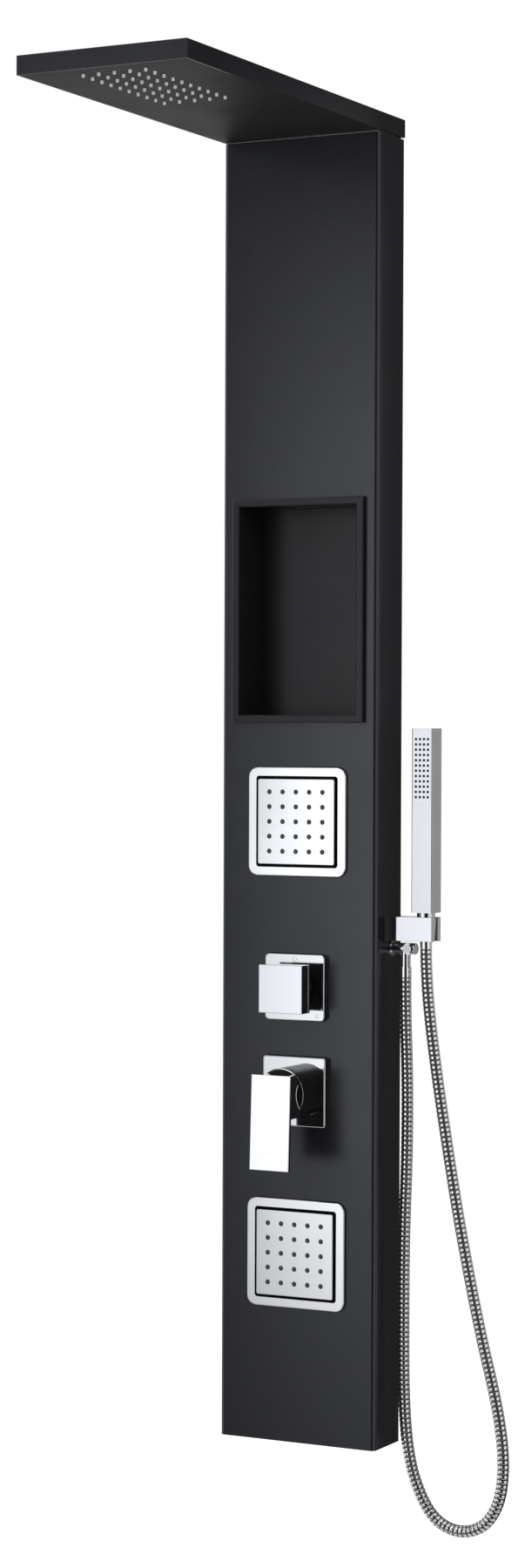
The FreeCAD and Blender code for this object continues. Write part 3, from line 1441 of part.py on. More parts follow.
def make_shower_hose():
    """Ribbed hose along its free route, with its bore open from end to end."""
    points = [(half_width.value + out, service.value, foot.value + height) for out, height in HOSE_ROUTE]
    route = Route(points)
    print("hose radii:", ", ".join(f"{radius:.0f}" for radius in route.radii))
    total = route.wire().Length
    crest = size.hose_radius.value
    groove = size.hose_groove_radius.value
    bore = size.hose_bore_radius.value
    plain = 2 * crest
    ribs = int(size.hose_ribs.value)
    pitch = (total - 2 * plain) / ribs
    shares = ((0.0, groove), (0.2, crest), (0.7, crest), (0.9, groove))
    outline = [(0.0, groove), (plain - 0.1 * pitch, groove)]
    for rib in range(ribs):
        start = plain + rib * pitch
        outline += [(start + share * pitch, radius) for share, radius in shares]
    outline.append((total, groove))
    steady = Vector(0, 1, 0)

    def circle(spot, direction, radius):
        frame = FreeCAD.Rotation(steady, direction.cross(steady), direction, "ZXY")
        ring = Part.Circle(Vector(0, 0, 0), Vector(0, 0, 1), radius).toShape()
        ring.Placement = Placement(spot, frame)
        return Part.Wire([ring])

    stations = route.spots([distance for distance, radius in outline])
    outer_rings = [circle(*station, radius) for station, (distance, radius) in zip(stations, outline)]
    steps = [total * share / (2 * ribs) for share in range(2 * ribs + 1)]
    inner_rings = [circle(*station, bore) for station in route.spots(steps)]
    skin = Part.makeLoft(outer_rings, True, True)
    lining = Part.makeLoft(inner_rings, True, True)
    solid = skin.cut(lining).Solids[0]
    feature = document.addObject("Part::Feature", "shower_hose")
    feature.Shape = solid
    feature.Placement = Placement()
    expected = -math.pi * bore ** 2 * total
    for (start, low), (end, high) in zip(outline, outline[1:]):
        expected += math.pi / 3 * (end - start) * (low * low + low * high + high * high)
    print(f"hose length {total:.1f}, rib pitch {pitch:.2f}, volume is "
          f"{solid.Volume / expected:.4f} of its sections times their length")
    finish(feature, "shower_hose")


def make_inner_hoses():
    """Feeds from the diverter to every outlet, and the link from the mixer."""
    diverter = diverter_level
    end = size.diverter_port_end
    hose = (size.feed_hose_radius, size.feed_hose_bore)
    upper_barb = upper_jet_level - size.jet_barb_end
    lower_barb = lower_jet_level + size.jet_barb_end
    for name, low, high in (("link_hose", mixer_level + size.mixer_port_end, diverter - end),
                            ("upper_jet_hose", diverter + end, upper_barb)):
        spot = (0, service)
        finish(cut(name, rod(f"{name}_rod", "z", spot, hose[0], low, high),
                   rod(f"{name}_bore", "z", spot, hose[1], low - size.fit_gap, high + size.fit_gap)), name)
    aside = size.jet_housing_width / 2 + size.lower_hose_margin
    left = -aside
    start = diverter - size.diverter_port_rise
    tube("lower_jet_hose",
         [(-end, service, start), (left, service, start),
          (left, service, lower_barb + aside + size.feed_bend),
          (0, service, lower_barb + size.feed_bend), (0, service, lower_barb)],
         *hose, size.feed_bend)
    left = size.head_hose_margin - half_width
    start = diverter + size.diverter_port_rise
    pipe_foot = foot + size.column_height - size.head_feed_drop
    shift = -left - size.head_feed_x
    knee = pipe_foot - size.head_hose_bend
    tube("head_hose",
         [(-end, service, start), (left, service, start), (left, service, knee - shift),
          (-size.head_feed_x, service, knee), (-size.head_feed_x, service, pipe_foot)],
         *hose, size.head_hose_bend)
    tail = elbow_barb_end()
    middle = (end + tail) / 2
    jog = size.handset_pipe_jog / 2
    tube("handset_feed_pipe",
         [(end, service, diverter), (middle - jog, service, diverter),
          (middle + jog, service, elbow_level), (tail, service, elbow_level)],
         size.feed_pipe_radius, size.feed_pipe_bore, size.handset_pipe_bend)


def make_supply():
    """Hot and cold supply hoses, each with a nut that opens towards the wall."""
    depth = -size.supply_depth
    low = mixer_level - size.supply_drop
    nut_rear = -size.supply_nut_rear
    nut_front = nut_rear - size.supply_nut_length
    nuts = []
    for name, sign in (("hot", -1), ("cold", 1)):
        port = size.mixer_port_end * sign
        x = (half_width - size.supply_margin) * sign
        tube(f"{name}_supply_hose",
             [(port, depth, mixer_level), (x, depth, mixer_level), (x, depth, low), (x, nut_front, low)],
             size.supply_hose_radius, size.supply_hose_bore, size.supply_bend)
        across = (x, low)
        nuts.append(cut(
            f"{name}_supply_nut",
            hexagon(f"{name}_nut_blank", "y", across, size.supply_nut_radius, nut_front, nut_rear),
            rod(f"{name}_nut_thread", "y", across, size.supply_thread_radius,
                nut_rear - size.supply_thread_length, nut_rear + size.fit_gap),
            rod(f"{name}_nut_bore", "y", across, size.supply_hose_bore, nut_front - size.fit_gap, nut_rear)))
    gather("supply_nuts", nuts)


# ---------------------------------------------------------------- build and export

make_column_shell()
make_bottom_cap()
make_hangers()
make_niche()
make_head()
make_jet("upper_jet", upper_jet_level, -1)
make_jet("lower_jet", lower_jet_level, 1)
make_diverter()
make_mixer()
make_valve_nuts()
make_holder()
make_elbow()
make_handset()
make_shower_hose()
make_inner_hoses()
make_supply()
document.recompute()

failed = [item.Name for item in document.Objects if "Invalid" in item.State or "Error" in item.State]
failed += [part.Label for part in finished if part.Shape.isNull() or not part.Shape.isValid()]
if failed:
    raise RuntimeError(f"these objects failed: {', '.join(failed)}")
os.makedirs("parts", exist_ok=True)
for part in finished:
    part.Shape.exportStep(os.path.join("parts", f"{part.Label}.step"))
print(f"{len(finished)} parts written")
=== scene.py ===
"""Dressed model of a wall-hung shower panel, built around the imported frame.

Everything is in metres in the frame's own axes: +X to the right, the wall at y = 0 behind the
panel, the front towards -Y and +Z up. The origin is the middle of the upper wall bracket's holes.
"""
import logging
import math
from dataclasses import dataclass, replace
from enum import Enum

import bmesh
import bpy
import numpy as np
from mathutils import Matrix, Vector


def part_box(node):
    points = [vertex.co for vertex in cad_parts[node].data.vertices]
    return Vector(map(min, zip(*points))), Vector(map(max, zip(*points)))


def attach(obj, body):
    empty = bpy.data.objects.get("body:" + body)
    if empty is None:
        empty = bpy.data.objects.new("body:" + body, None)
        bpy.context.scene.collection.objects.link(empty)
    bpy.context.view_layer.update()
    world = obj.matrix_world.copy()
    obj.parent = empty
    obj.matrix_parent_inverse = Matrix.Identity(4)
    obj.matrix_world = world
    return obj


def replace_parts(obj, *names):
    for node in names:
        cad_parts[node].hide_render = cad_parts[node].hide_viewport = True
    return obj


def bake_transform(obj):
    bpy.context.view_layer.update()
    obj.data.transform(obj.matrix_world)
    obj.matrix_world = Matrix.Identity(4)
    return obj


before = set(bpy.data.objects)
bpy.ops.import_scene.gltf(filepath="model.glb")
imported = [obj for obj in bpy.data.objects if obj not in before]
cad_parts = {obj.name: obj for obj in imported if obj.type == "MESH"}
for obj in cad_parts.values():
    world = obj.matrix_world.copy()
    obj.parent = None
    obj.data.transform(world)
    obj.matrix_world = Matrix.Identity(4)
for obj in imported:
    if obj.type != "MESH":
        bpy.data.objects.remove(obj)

log = logging.getLogger("shower_panel")

Colour = tuple[float, float, float]
Point = tuple[float, float, float]
Span = tuple[float, float]
Outline = list[Span]
Socket = bpy.types.NodeSocket

ROOT = "root"
FOOT_HEIGHT = -1.350
SIDE_FACE = 0.100
SERVICE_PLANE = -0.0235
MERGE_DISTANCE = 1e-6
RIGHTWARD = Vector((1.0, 0.0, 0.0))
REARWARD = Vector((0.0, 1.0, 0.0))
FRONTWARD = Vector((0.0, -1.0, 0.0))
WHITE = (1.0, 1.0, 1.0)
BLACK = (0.0, 0.0, 0.0)
UNSTRETCHED = (1.0, 1.0, 1.0)

# Values that every finish shares.
# Painted shade in the hose's grooves: the layer of each point's groove depth, and the dark colour that it
# mixes in.
GROOVE_SHADE_LAYER = "groove"
GROOVE_SHADE_COLOUR = (0.02, 0.02, 0.022)
# Painted shade on plated pieces: its dark colour and roughness, the rearward normals that get it, and the
# step over which a neck's shade starts.
PAINTED_SHADE_COLOUR = (0.012, 0.012, 0.013)
PAINTED_SHADE_ROUGHNESS = 0.5
BACK_FACING = (0.6, 0.7)
NECK_STEP = 0.0002
FILM_SCALE = 14.0
DUST_SCALE = 30.0
DUST_STRENGTH = 0.35

# Route of the free hose, as distance out from the column's side and height above its foot:
# down from the elbow, round its hanging loop, up to the cone nut.
HOSE_ROUTE = [
    (0.0174, 0.5510), (0.0174, 0.5050), (0.0208, 0.4200), (0.0204, 0.3300), (0.0172, 0.2450),
    (0.0168, 0.1450), (0.0176, 0.0500), (0.0242, -0.0140), (0.0400, -0.0570), (0.0605, -0.0830),
    (0.0905, -0.0920), (0.1195, -0.0815), (0.1375, -0.0540), (0.1430, -0.0180), (0.1410, 0.0200),
    (0.1320, 0.0680), (0.1125, 0.1410), (0.0890, 0.2490), (0.0735, 0.3340), (0.0540, 0.4500),
    (0.0431, 0.5400), (0.0431, 0.5840),
]


# ---------------------------------------- shader graphs and effects

class Graph:
    """Adds nodes to one shader tree and wires them."""

    def __init__(self, tree: bpy.types.NodeTree) -> None:
        """Take the tree that the nodes go into."""
        self.tree = tree

    def add(self, kind: str, **settings: object) -> bpy.types.Node:
        """Add a node.

        Args:
            kind: the node's type without its ShaderNode prefix.
            settings: sockets by name, with _ for a blank, as a value or as the socket to wire
                in; any other name is set on the node itself.

        Returns:
            The node.
        """
        node = self.tree.nodes.new(f"ShaderNode{kind}")
        for name, value in settings.items():
            if not isinstance(value, Socket) and hasattr(node, name):
                setattr(node, name, value)
        for name, value in settings.items():
            if isinstance(value, Socket) or not hasattr(node, name):
                self.put(node.inputs[name.replace("_", " ")], value)
        return node

    def put(self, socket: Socket, value: object) -> None:
        """Set a socket to a value, or wire another socket into it.

        Args:
            socket: the socket.
            value: the value, or the socket that feeds it.
        """
        if isinstance(value, Socket):
            self.tree.links.new(value, socket)
        else:
            socket.default_value = value

    def math(self, operation: str, *values: object) -> Socket:
        """Add a Math node.

        Args:
            operation: what it does.
            values: its inputs, as numbers or sockets.

        Returns:
            Its result.
        """
        node = self.tree.nodes.new("ShaderNodeMath")
        node.operation = operation
        for socket, value in zip(node.inputs, values):
            self.put(socket, value)
        return node.outputs[0]

    def times(self, first: object, second: object) -> Socket:
        """The product of two values."""
        return self.math("MULTIPLY", first, second)

    def larger(self, first: object, second: object) -> Socket:
        """The larger of two values."""
        return self.math("MAXIMUM", first, second)

    def tint(self, factor: object, low: object, high: object) -> Socket:
        """Mix two colours.

        Args:
            factor: 0 for the first colour and 1 for the second.
            low: the first colour, as a tuple or a socket.
            high: the second colour.

        Returns:
            The mixed colour.
        """
        node = self.tree.nodes.new("ShaderNodeMix")
        node.data_type = "RGBA"
        for number, value in ((0, factor), (6, low), (7, high)):
            self.put(node.inputs[number], (*value, 1.0) if isinstance(value, tuple) else value)
        return node.outputs[2]

    def span(self, value: object, low: float, high: float, start: float = 0.0,
             end: float = 1.0) -> Socket:
        """Map a value from one span onto another.

        Args:
            value: the value.
            low: where the first span starts.
            high: where it ends.
            start: the result at low.
            end: the result at high.

        Returns:
            The mapped value.
        """
        node = self.add("MapRange", Value=value)
        for name, number in zip(("From Min", "From Max", "To Min", "To Max"), (low, high, start, end)):
            node.inputs[name].default_value = number
        return node.outputs[0]

    def noise(self, vector: object, scale: object, detail: float = 2.0) -> Socket:
        """Add a noise texture and return its value."""
        return self.add("TexNoise", Vector=vector, Scale=scale, Detail=detail).outputs[0]

    def place(self) -> Socket:
        """The shaded point in its object's own space, which is the frame for every piece."""
        return self.add("TexCoord").outputs["Object"]

    def axes(self, vector: Socket) -> bpy.types.bpy_prop_collection:
        """Split a vector into its X, Y and Z sockets."""
        return self.add("SeparateXYZ", Vector=vector).outputs

    def stretched(self, vector: Socket, stretch: object) -> Socket:
        """Stretch a vector.

        Args:
            vector: the vector.
            stretch: what each axis is multiplied by, as a tuple or a socket.

        Returns:
            The stretched vector.
        """
        node = self.add("VectorMath", operation="MULTIPLY")
        self.put(node.inputs[0], vector)
        self.put(node.inputs[1], stretch)
        return node.outputs[0]


class PaintedShade(Enum):
    """Which part of a plated piece is painted dark as shade: the recess in its back, or a proud neck."""

    NONE = "none"
    BACK = "back"
    NECK = "neck"


class Effect(Enum):
    """Surface effects that several finishes share, each one node group."""

    FILM = "handling_film"
    DUST = "settled_dust"
    POWDER = "powder_grain"
    BRUSHED = "brushed_lines"
    TURNED = "turned_rings"
    SCRATCHED = "polishing_hairlines"
    MOULDED = "moulded_grain"
    CAST = "cast_skin"
    BRAIDED = "braided_cover"
    SPANGLED = "zinc_spangle"


class EffectGroup(Graph):
    """The node group of one surface effect.

    The method with the effect's name builds it and returns two sockets, which are the group's
    outputs: the height of its relief, and the tone that mixes two colours or roughnesses.
    """

    made: dict[Effect, bpy.types.NodeTree] = {}

    def __init__(self, effect: Effect) -> None:
        """Build the group of an effect.

        Args:
            effect: the effect.
        """
        super().__init__(bpy.data.node_groups.new(effect.value, "ShaderNodeTree"))
        face = self.tree.interface
        face.new_socket("Scale", in_out="INPUT", socket_type="NodeSocketFloat").default_value = 1.0
        stretch = face.new_socket("Stretch", in_out="INPUT", socket_type="NodeSocketVector")
        stretch.default_value = UNSTRETCHED
        entry = self.tree.nodes.new("NodeGroupInput")
        self.point = self.stretched(self.place(), entry.outputs["Stretch"])
        self.scale = entry.outputs["Scale"]
        leave = self.tree.nodes.new("NodeGroupOutput")
        for name, socket in zip(("Height", "Tone"), getattr(self, effect.value)()):
            face.new_socket(name, in_out="OUTPUT", socket_type="NodeSocketFloat")
            self.put(leave.inputs[name], socket)

    @classmethod
    def get(cls, effect: Effect) -> bpy.types.NodeTree:
        """Find an effect's node group, and build it at its first use.

        Args:
            effect: the effect.

        Returns:
            The group.
        """
        if effect not in cls.made:
            cls.made[effect] = cls(effect).tree
        return cls.made[effect]

    def mottle(self, share: float = 1.0, detail: float = 2.0) -> Socket:
        """Noise at a share of the group's scale."""
        return self.noise(self.point, self.times(self.scale, share), detail)

    def cells(self, share: float = 1.0, feature: str = "F1") -> bpy.types.Node:
        """Cells at a share of the group's scale."""
        return self.add("TexVoronoi", Vector=self.point, Scale=self.times(self.scale, share),
                        feature=feature)

    def handling_film(self) -> tuple[Socket, Socket]:
        """Dried water spots and wiped haze.

        Returns:
            The spots' height, and a tone that is 0 where clean and 1 where hazy.
        """
        rim = self.span(self.cells(share=9.0).outputs["Distance"], low=0.16, high=0.24)
        patches = self.span(self.mottle(share=3.0), low=0.52, high=0.68)
        spots = self.times(self.math("SUBTRACT", 1.0, rim), patches)
        haze = self.span(self.mottle(detail=4.0), low=0.42, high=0.72, end=0.8)
        return spots, self.larger(haze, spots)

    def settled_dust(self) -> tuple[Socket, Socket]:
        """Dust that lies on what faces up.

        Returns:
            The patches' height, and a tone that is 1 where they show.
        """
        upward = self.axes(self.add("NewGeometry").outputs["Normal"])["Z"]
        patches = self.span(self.mottle(detail=5.0), low=0.3, high=0.7)
        return patches, self.times(self.span(upward, low=0.6, high=1.0), patches)

    def powder_grain(self) -> tuple[Socket, Socket]:
        """Fine even grain of a satin coating."""
        return self.mottle(detail=1.0), self.mottle(share=0.06, detail=3.0)

    def brushed_lines(self) -> tuple[Socket, Socket]:
        """Long parallel brush marks along the least stretched axis."""
        return self.mottle(detail=3.0), self.mottle(share=0.2)

    def turned_rings(self) -> tuple[Socket, Socket]:
        """Fine tool marks of a turned part."""
        wave = self.add("TexWave", Vector=self.point, Scale=self.scale, Distortion=0.6, Detail=1.0,
                        bands_direction="Y")
        return wave.outputs["Fac"], self.mottle(share=0.1, detail=3.0)

    def polishing_hairlines(self) -> tuple[Socket, Socket]:
        """Faint crossing hairlines on polished metal.

        Returns:
            The lines' height, and a broad mottle as the tone.
        """
        lines = []
        for angle in (0.5, 2.1):
            turned = self.add("VectorRotate", Vector=self.point, Angle=angle, Axis=(0.3, 1.0, 0.2))
            slim = self.stretched(turned.outputs[0], (1.0, 1.0, 0.04))
            lines.append(self.span(self.noise(slim, self.scale, detail=1.0), low=0.62, high=0.72))
        return self.larger(*lines), self.mottle(share=0.02, detail=3.0)

    def moulded_grain(self) -> tuple[Socket, Socket]:
        """Etched grain of moulded plastic."""
        return self.cells(feature="SMOOTH_F1").outputs["Distance"], self.mottle(share=0.05, detail=3.0)

    def cast_skin(self) -> tuple[Socket, Socket]:
        """Pitted skin of cast metal."""
        return self.mottle(detail=6.0), self.mottle(share=0.12, detail=4.0)

    def braided_cover(self) -> tuple[Socket, Socket]:
        """Crossing strands of a braided hose cover.

        Returns:
            The strands' height, and a tone that is 1 where two strands cross.
        """
        strands = []
        for side in (1.0, -1.0):
            slant = self.add("VectorMath", operation="DOT_PRODUCT")
            self.put(slant.inputs[0], self.point)
            self.put(slant.inputs[1], (side, side, 1.0))
            wave = self.math("SINE", self.times(slant.outputs["Value"], self.scale))
            strands.append(self.math("ABSOLUTE", wave))
        return self.larger(*strands), self.times(*strands)

    def zinc_spangle(self) -> tuple[Socket, Socket]:
        """Crystals of zinc plate on steel."""
        shade = self.add("SeparateColor", Color=self.cells().outputs["Color"]).outputs[0]
        return self.mottle(share=8.0), shade


# ---------------------------------------- finishes

def new_material(name: str) -> tuple[bpy.types.Material, Graph, bpy.types.Node]:
    """Start a material.

    Args:
        name: its name.

    Returns:
        The material, its graph and its Principled BSDF.
    """
    material = bpy.data.materials.new(name)
    material.use_nodes = True
    return material, Graph(material.node_tree), material.node_tree.nodes["Principled BSDF"]


@dataclass(frozen=True)
class Grain:
    """The fine relief of a finish: its effect, scale per metre, depth, and stretch by axis."""

    effect: Effect = Effect.POWDER
    scale: float = 1500.0
    depth: float = 20e-6
    stretch: Point = UNSTRETCHED


@dataclass(frozen=True)
class Finish:
    """One surface finish, as a procedural material.

    Its recess is (centre x, centre z, half width, half height), and its neck starts in front
    of the neck plane. Both are painted shade, dark, rough and not metallic, and only count
    where the finish names that kind of shaded part.
    """

    name: str
    slot: str
    colour: Colour
    shade: Colour
    roughness: float
    metallic: float = 0.0
    specular: float = 0.5
    grain: Grain = Grain()
    film_roughness: float = 0.06
    dust: Colour | None = None
    glint: Colour = WHITE
    # Painted shade: darkening in the hose's grooves, and the dark rear faces or neck of plated pieces.
    groove_shaded: bool = False
    painted_shade: PaintedShade = PaintedShade.NONE
    neck_plane: float = 0.0
    recess: tuple[float, float, float, float] = (0.0, 0.0, 0.0, 0.0)

    def material(self) -> bpy.types.Material:
        """The material, built at its first use."""
        return bpy.data.materials.get(self.name) or self.build()

    def effect(self, graph: Graph, kind: Effect, scale: float,
               stretch: Point = UNSTRETCHED) -> bpy.types.bpy_prop_collection:
        """Place an effect's group in this material.

        Args:
            graph: the material's graph.
            kind: the effect.
            scale: its scale, per metre.
            stretch: how much each axis is stretched.

        Returns:
            The group's Height and Tone sockets.
        """
        node = graph.add("Group", node_tree=EffectGroup.get(kind))
        node.inputs["Scale"].default_value = scale
        node.inputs["Stretch"].default_value = stretch
        return node.outputs

    def build(self) -> bpy.types.Material:
        """Build the material's nodes.

        Returns:
            The material.
        """
        material, graph, shader = new_material(self.name)
        for name, value in (("Metallic", self.metallic), ("Specular IOR Level", self.specular),
                            ("Specular Tint", (*self.glint, 1.0))):
            shader.inputs[name].default_value = value
        grain = self.effect(graph, self.grain.effect, self.grain.scale, self.grain.stretch)
        film = self.effect(graph, Effect.FILM, FILM_SCALE)
        colour = graph.tint(grain["Tone"], self.colour, self.shade)
        if self.dust:
            dust = self.effect(graph, Effect.DUST, DUST_SCALE)
            colour = graph.tint(graph.times(dust["Tone"], DUST_STRENGTH), colour, self.dust)
        # Painted shade: darker the deeper the point lies in a hose groove.
        if self.groove_shaded:
            groove = graph.add("Attribute", attribute_name=GROOVE_SHADE_LAYER).outputs["Fac"]
            colour = graph.tint(groove, colour, GROOVE_SHADE_COLOUR)
        roughness = graph.span(film["Tone"], 0.0, 1.0, self.roughness,
                               self.roughness + self.film_roughness)
        # Painted shade: the chosen rear faces or neck turn dark, rough and not metallic.
        if self.painted_shade is not PaintedShade.NONE:
            mask = self.painted_shade_mask(graph)
            colour = graph.tint(mask, colour, PAINTED_SHADE_COLOUR)
            roughness = graph.larger(roughness, graph.times(mask, PAINTED_SHADE_ROUGHNESS))
            graph.put(shader.inputs["Metallic"], graph.span(mask, 0.0, 1.0, self.metallic, 0.0))
        graph.put(shader.inputs["Base Color"], colour)
        graph.put(shader.inputs["Roughness"], roughness)
        bump = graph.add("Bump", Strength=1.0, Distance=self.grain.depth, Height=grain["Height"])
        graph.put(shader.inputs["Normal"], bump.outputs[0])
        return material

    def painted_shade_mask(self, graph: Graph) -> Socket:
        """Find where a plated piece is painted dark as shade.

        Args:
            graph: the material's graph.

        Returns:
            A mask, 1 where the shade is painted and 0 on the rest of its plating.
        """
        place = graph.axes(graph.place())
        if self.painted_shade is PaintedShade.NECK:
            return graph.span(place["Y"], self.neck_plane, self.neck_plane - NECK_STEP)
        normal = graph.axes(graph.add("NewGeometry").outputs["Normal"])
        x, z, half_width, half_height = self.recess
        across = graph.math("COMPARE", place["X"], x, half_width)
        upward = graph.math("COMPARE", place["Z"], z, half_height)
        return graph.times(graph.span(normal["Y"], *BACK_FACING), graph.times(across, upward))


SATIN_BLACK = Finish("satin_black_coating", "column_finish", (0.0095, 0.0097, 0.0115),
                     (0.0113, 0.0115, 0.0133), 0.25, specular=0.62, dust=(0.10, 0.10, 0.10),
                     grain=Grain(Effect.POWDER, 1800.0, 12e-6), glint=(0.90, 0.92, 1.0))
SOFFIT_BLACK = Finish("satin_black_underside", "column_finish", (0.0110, 0.0108, 0.0108),
                      (0.0135, 0.0130, 0.0130), 0.52, specular=0.25,
                      grain=Grain(Effect.POWDER, 1800.0, 20e-6))
NICHE_BLACK = Finish("satin_black_niche", "column_finish", (0.0090, 0.0092, 0.0105),
                     (0.0115, 0.0118, 0.0132), 0.30, specular=0.36, dust=(0.10, 0.10, 0.10),
                     grain=Grain(Effect.POWDER, 1800.0, 12e-6))
DARK_TRIM = Finish("dark_anodised_trim", "trim_finish", (0.0100, 0.0103, 0.0125),
                   (0.0140, 0.0143, 0.0170), 0.32, specular=0.30,
                   grain=Grain(Effect.BRUSHED, 260.0, 15e-6, (10.0, 10.0, 1.0)))
CHROME = Finish("polished_chrome", "chrome", (0.74, 0.745, 0.76), (0.70, 0.705, 0.72), 0.05,
                metallic=1.0, grain=Grain(Effect.SCRATCHED, 900.0, 1.5e-6), film_roughness=0.05)
# Painted light: a brighter copy of the polished chrome, for the jet frames and the lever.
LIT_FRAME_CHROME = replace(CHROME, name="polished_chrome_frame_lit", colour=(0.95, 0.953, 0.957),
                       shade=(0.89, 0.895, 0.90))
SOFT_CHROME = replace(CHROME, name="soft_chrome", colour=(0.52, 0.525, 0.54),
                      shade=(0.48, 0.485, 0.50), roughness=0.06)
# Painted light: a brighter copy of the soft chrome, for the holder block.
LIT_HOLDER_CHROME = replace(SOFT_CHROME, name="soft_chrome_holder_lit", colour=(0.58, 0.585, 0.60),
                        shade=(0.54, 0.545, 0.56))
# A darker, rougher copy of the polished chrome, for the outlet plug.
PLUG_CHROME = replace(CHROME, name="darker_chrome_plug", colour=(0.40, 0.405, 0.415),
                      shade=(0.32, 0.325, 0.335), roughness=0.10)
# Painted shade: the knob's and lever's rear faces inside these boxes and the selector plate's proud neck
# are made dark, where the plates mirror them in shade.
KNOB_CHROME = replace(CHROME, name="polished_chrome_knob", painted_shade=PaintedShade.BACK,
                      recess=(0.0, -0.8238, 0.0267, 0.0267))
LEVER_CHROME = replace(LIT_FRAME_CHROME, name="polished_chrome_lever", painted_shade=PaintedShade.BACK,
                       recess=(0.0, -0.9740, 0.0220, 0.0512))
NECKED_CHROME = replace(CHROME, name="polished_chrome_necked", painted_shade=PaintedShade.NECK, neck_plane=-0.0736)
SLEEVE_BLACK = Finish("satin_black_sleeve", "black_plastic", (0.006, 0.006, 0.0065),
                      (0.009, 0.009, 0.0095), 0.28, specular=0.15,
                      grain=Grain(Effect.TURNED, 1200.0, 6e-6))
SATIN_CHROME = Finish("satin_chrome_face", "satin_chrome", (0.92, 0.925, 0.93), (0.84, 0.845, 0.86),
                      0.12, metallic=1.0, grain=Grain(Effect.BRUSHED, 420.0, 6e-6, (1.0, 8.0, 8.0)))
SPRAY_FACE = Finish("spray_face_chrome", "satin_chrome", (0.54, 0.545, 0.56), (0.50, 0.505, 0.52),
                    0.09, metallic=1.0, grain=Grain(Effect.SCRATCHED, 900.0, 2e-6))
# Painted light: the hose's chrome is made brighter to stand in for light that the room does not give it.
HOSE_CHROME = Finish("hose_strip_chrome", "hose_chrome", (0.90, 0.905, 0.92), (0.80, 0.805, 0.82),
                     0.07, metallic=1.0, groove_shaded=True, film_roughness=0.08,
                     grain=Grain(Effect.SCRATCHED, 900.0, 2e-6))
SILICONE = Finish("pale_silicone", "nozzle_silicone", (0.86, 0.87, 0.88), (0.76, 0.77, 0.78), 0.42,
                  grain=Grain(Effect.MOULDED, 2200.0, 20e-6))
DARK_SILICONE = Finish("dark_silicone", "nozzle_silicone", (0.060, 0.061, 0.063),
                       (0.040, 0.041, 0.043), 0.30, specular=0.7,
                       grain=Grain(Effect.MOULDED, 2200.0, 10e-6))
BLACK_PLASTIC = Finish("black_moulded_plastic", "black_plastic", (0.018, 0.018, 0.019),
                       (0.026, 0.026, 0.027), 0.48, dust=(0.12, 0.12, 0.12),
                       grain=Grain(Effect.MOULDED, 1400.0, 40e-6))
GASKET_RUBBER = Finish("black_gasket_rubber", "black_plastic", (0.010, 0.010, 0.010),
                       (0.016, 0.016, 0.016), 0.70, specular=0.3,
                       grain=Grain(Effect.MOULDED, 2600.0, 30e-6))
WHITE_PLASTIC = Finish("white_acetal", "white_plastic", (0.80, 0.80, 0.78), (0.72, 0.72, 0.70), 0.40,
                       grain=Grain(Effect.MOULDED, 1800.0, 20e-6))
ZINC = Finish("zinc_plated_steel", "bracket_steel", (0.50, 0.51, 0.53), (0.62, 0.63, 0.66), 0.32,
              metallic=1.0, dust=(0.25, 0.25, 0.25), grain=Grain(Effect.SPANGLED, 120.0, 20e-6))
CAST_BRASS = Finish("cast_brass", "brass", (0.56, 0.40, 0.17), (0.70, 0.52, 0.25), 0.34,
                    metallic=1.0, grain=Grain(Effect.CAST, 700.0, 200e-6))
TURNED_BRASS = Finish("turned_brass", "brass", (0.72, 0.54, 0.26), (0.62, 0.45, 0.20), 0.22,
                      metallic=1.0, grain=Grain(Effect.TURNED, 900.0, 30e-6))
BRAIDED_HOSE = Finish("braided_rubber_hose", "hose_rubber", (0.10, 0.10, 0.105),
                      (0.035, 0.035, 0.038), 0.45, grain=Grain(Effect.BRAIDED, 1400.0, 400e-6))
GREY_MARK = Finish("grey_mark_paint", "chrome", (0.52, 0.53, 0.55), (0.46, 0.47, 0.49), 0.5,
                   grain=Grain(Effect.POWDER, 3000.0))


def dress(finish: Finish, *nodes: str) -> None:
    """Give CAD nodes a finish.

    Args:
        finish: the finish.
        nodes: the nodes' names.
    """
    for name in nodes:
        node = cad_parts[name]
        if node.material_slots:
            for slot in node.material_slots:
                slot.material = finish.material()
        else:
            node.data.materials.append(finish.material())
        log.info("%s has %s", name, finish.name)


# ---------------------------------------- meshes and objects

def add_object(name: str, data: bpy.types.ID) -> bpy.types.Object:
    """Put a mesh, lamp or camera into the scene.

    Args:
        name: the object's name.
        data: the mesh, lamp or camera.

    Returns:
        The object.
    """
    made = bpy.data.objects.new(name, data)
    bpy.context.scene.collection.objects.link(made)
    return made


def aim(made: bpy.types.Object, place: Point, direction: Vector, front: str) -> None:
    """Move an object and turn it.

    Args:
        made: the object.
        place: where it goes.
        direction: what its front points along.
        front: the object's axis that is its front, such as -Z.
    """
    turn = direction.to_track_quat(front, "Y").to_matrix().to_4x4()
    made.matrix_world = Matrix.Translation(Vector(place)) @ turn


def level_rectangle(name: str, width: float, depth: float, height: float = 0.0) -> bpy.types.Mesh:
    """Make a level rectangle.

    Args:
        name: the mesh's name.
        width: its size in x.
        depth: its size in y.
        height: its z.

    Returns:
        The mesh.
    """
    mesh = bpy.data.meshes.new(name)
    corners = ((-1, -1), (1, -1), (1, 1), (-1, 1))
    mesh.from_pydata([(x * width / 2, y * depth / 2, height) for x, y in corners], [], [(0, 1, 2, 3)])
    return mesh


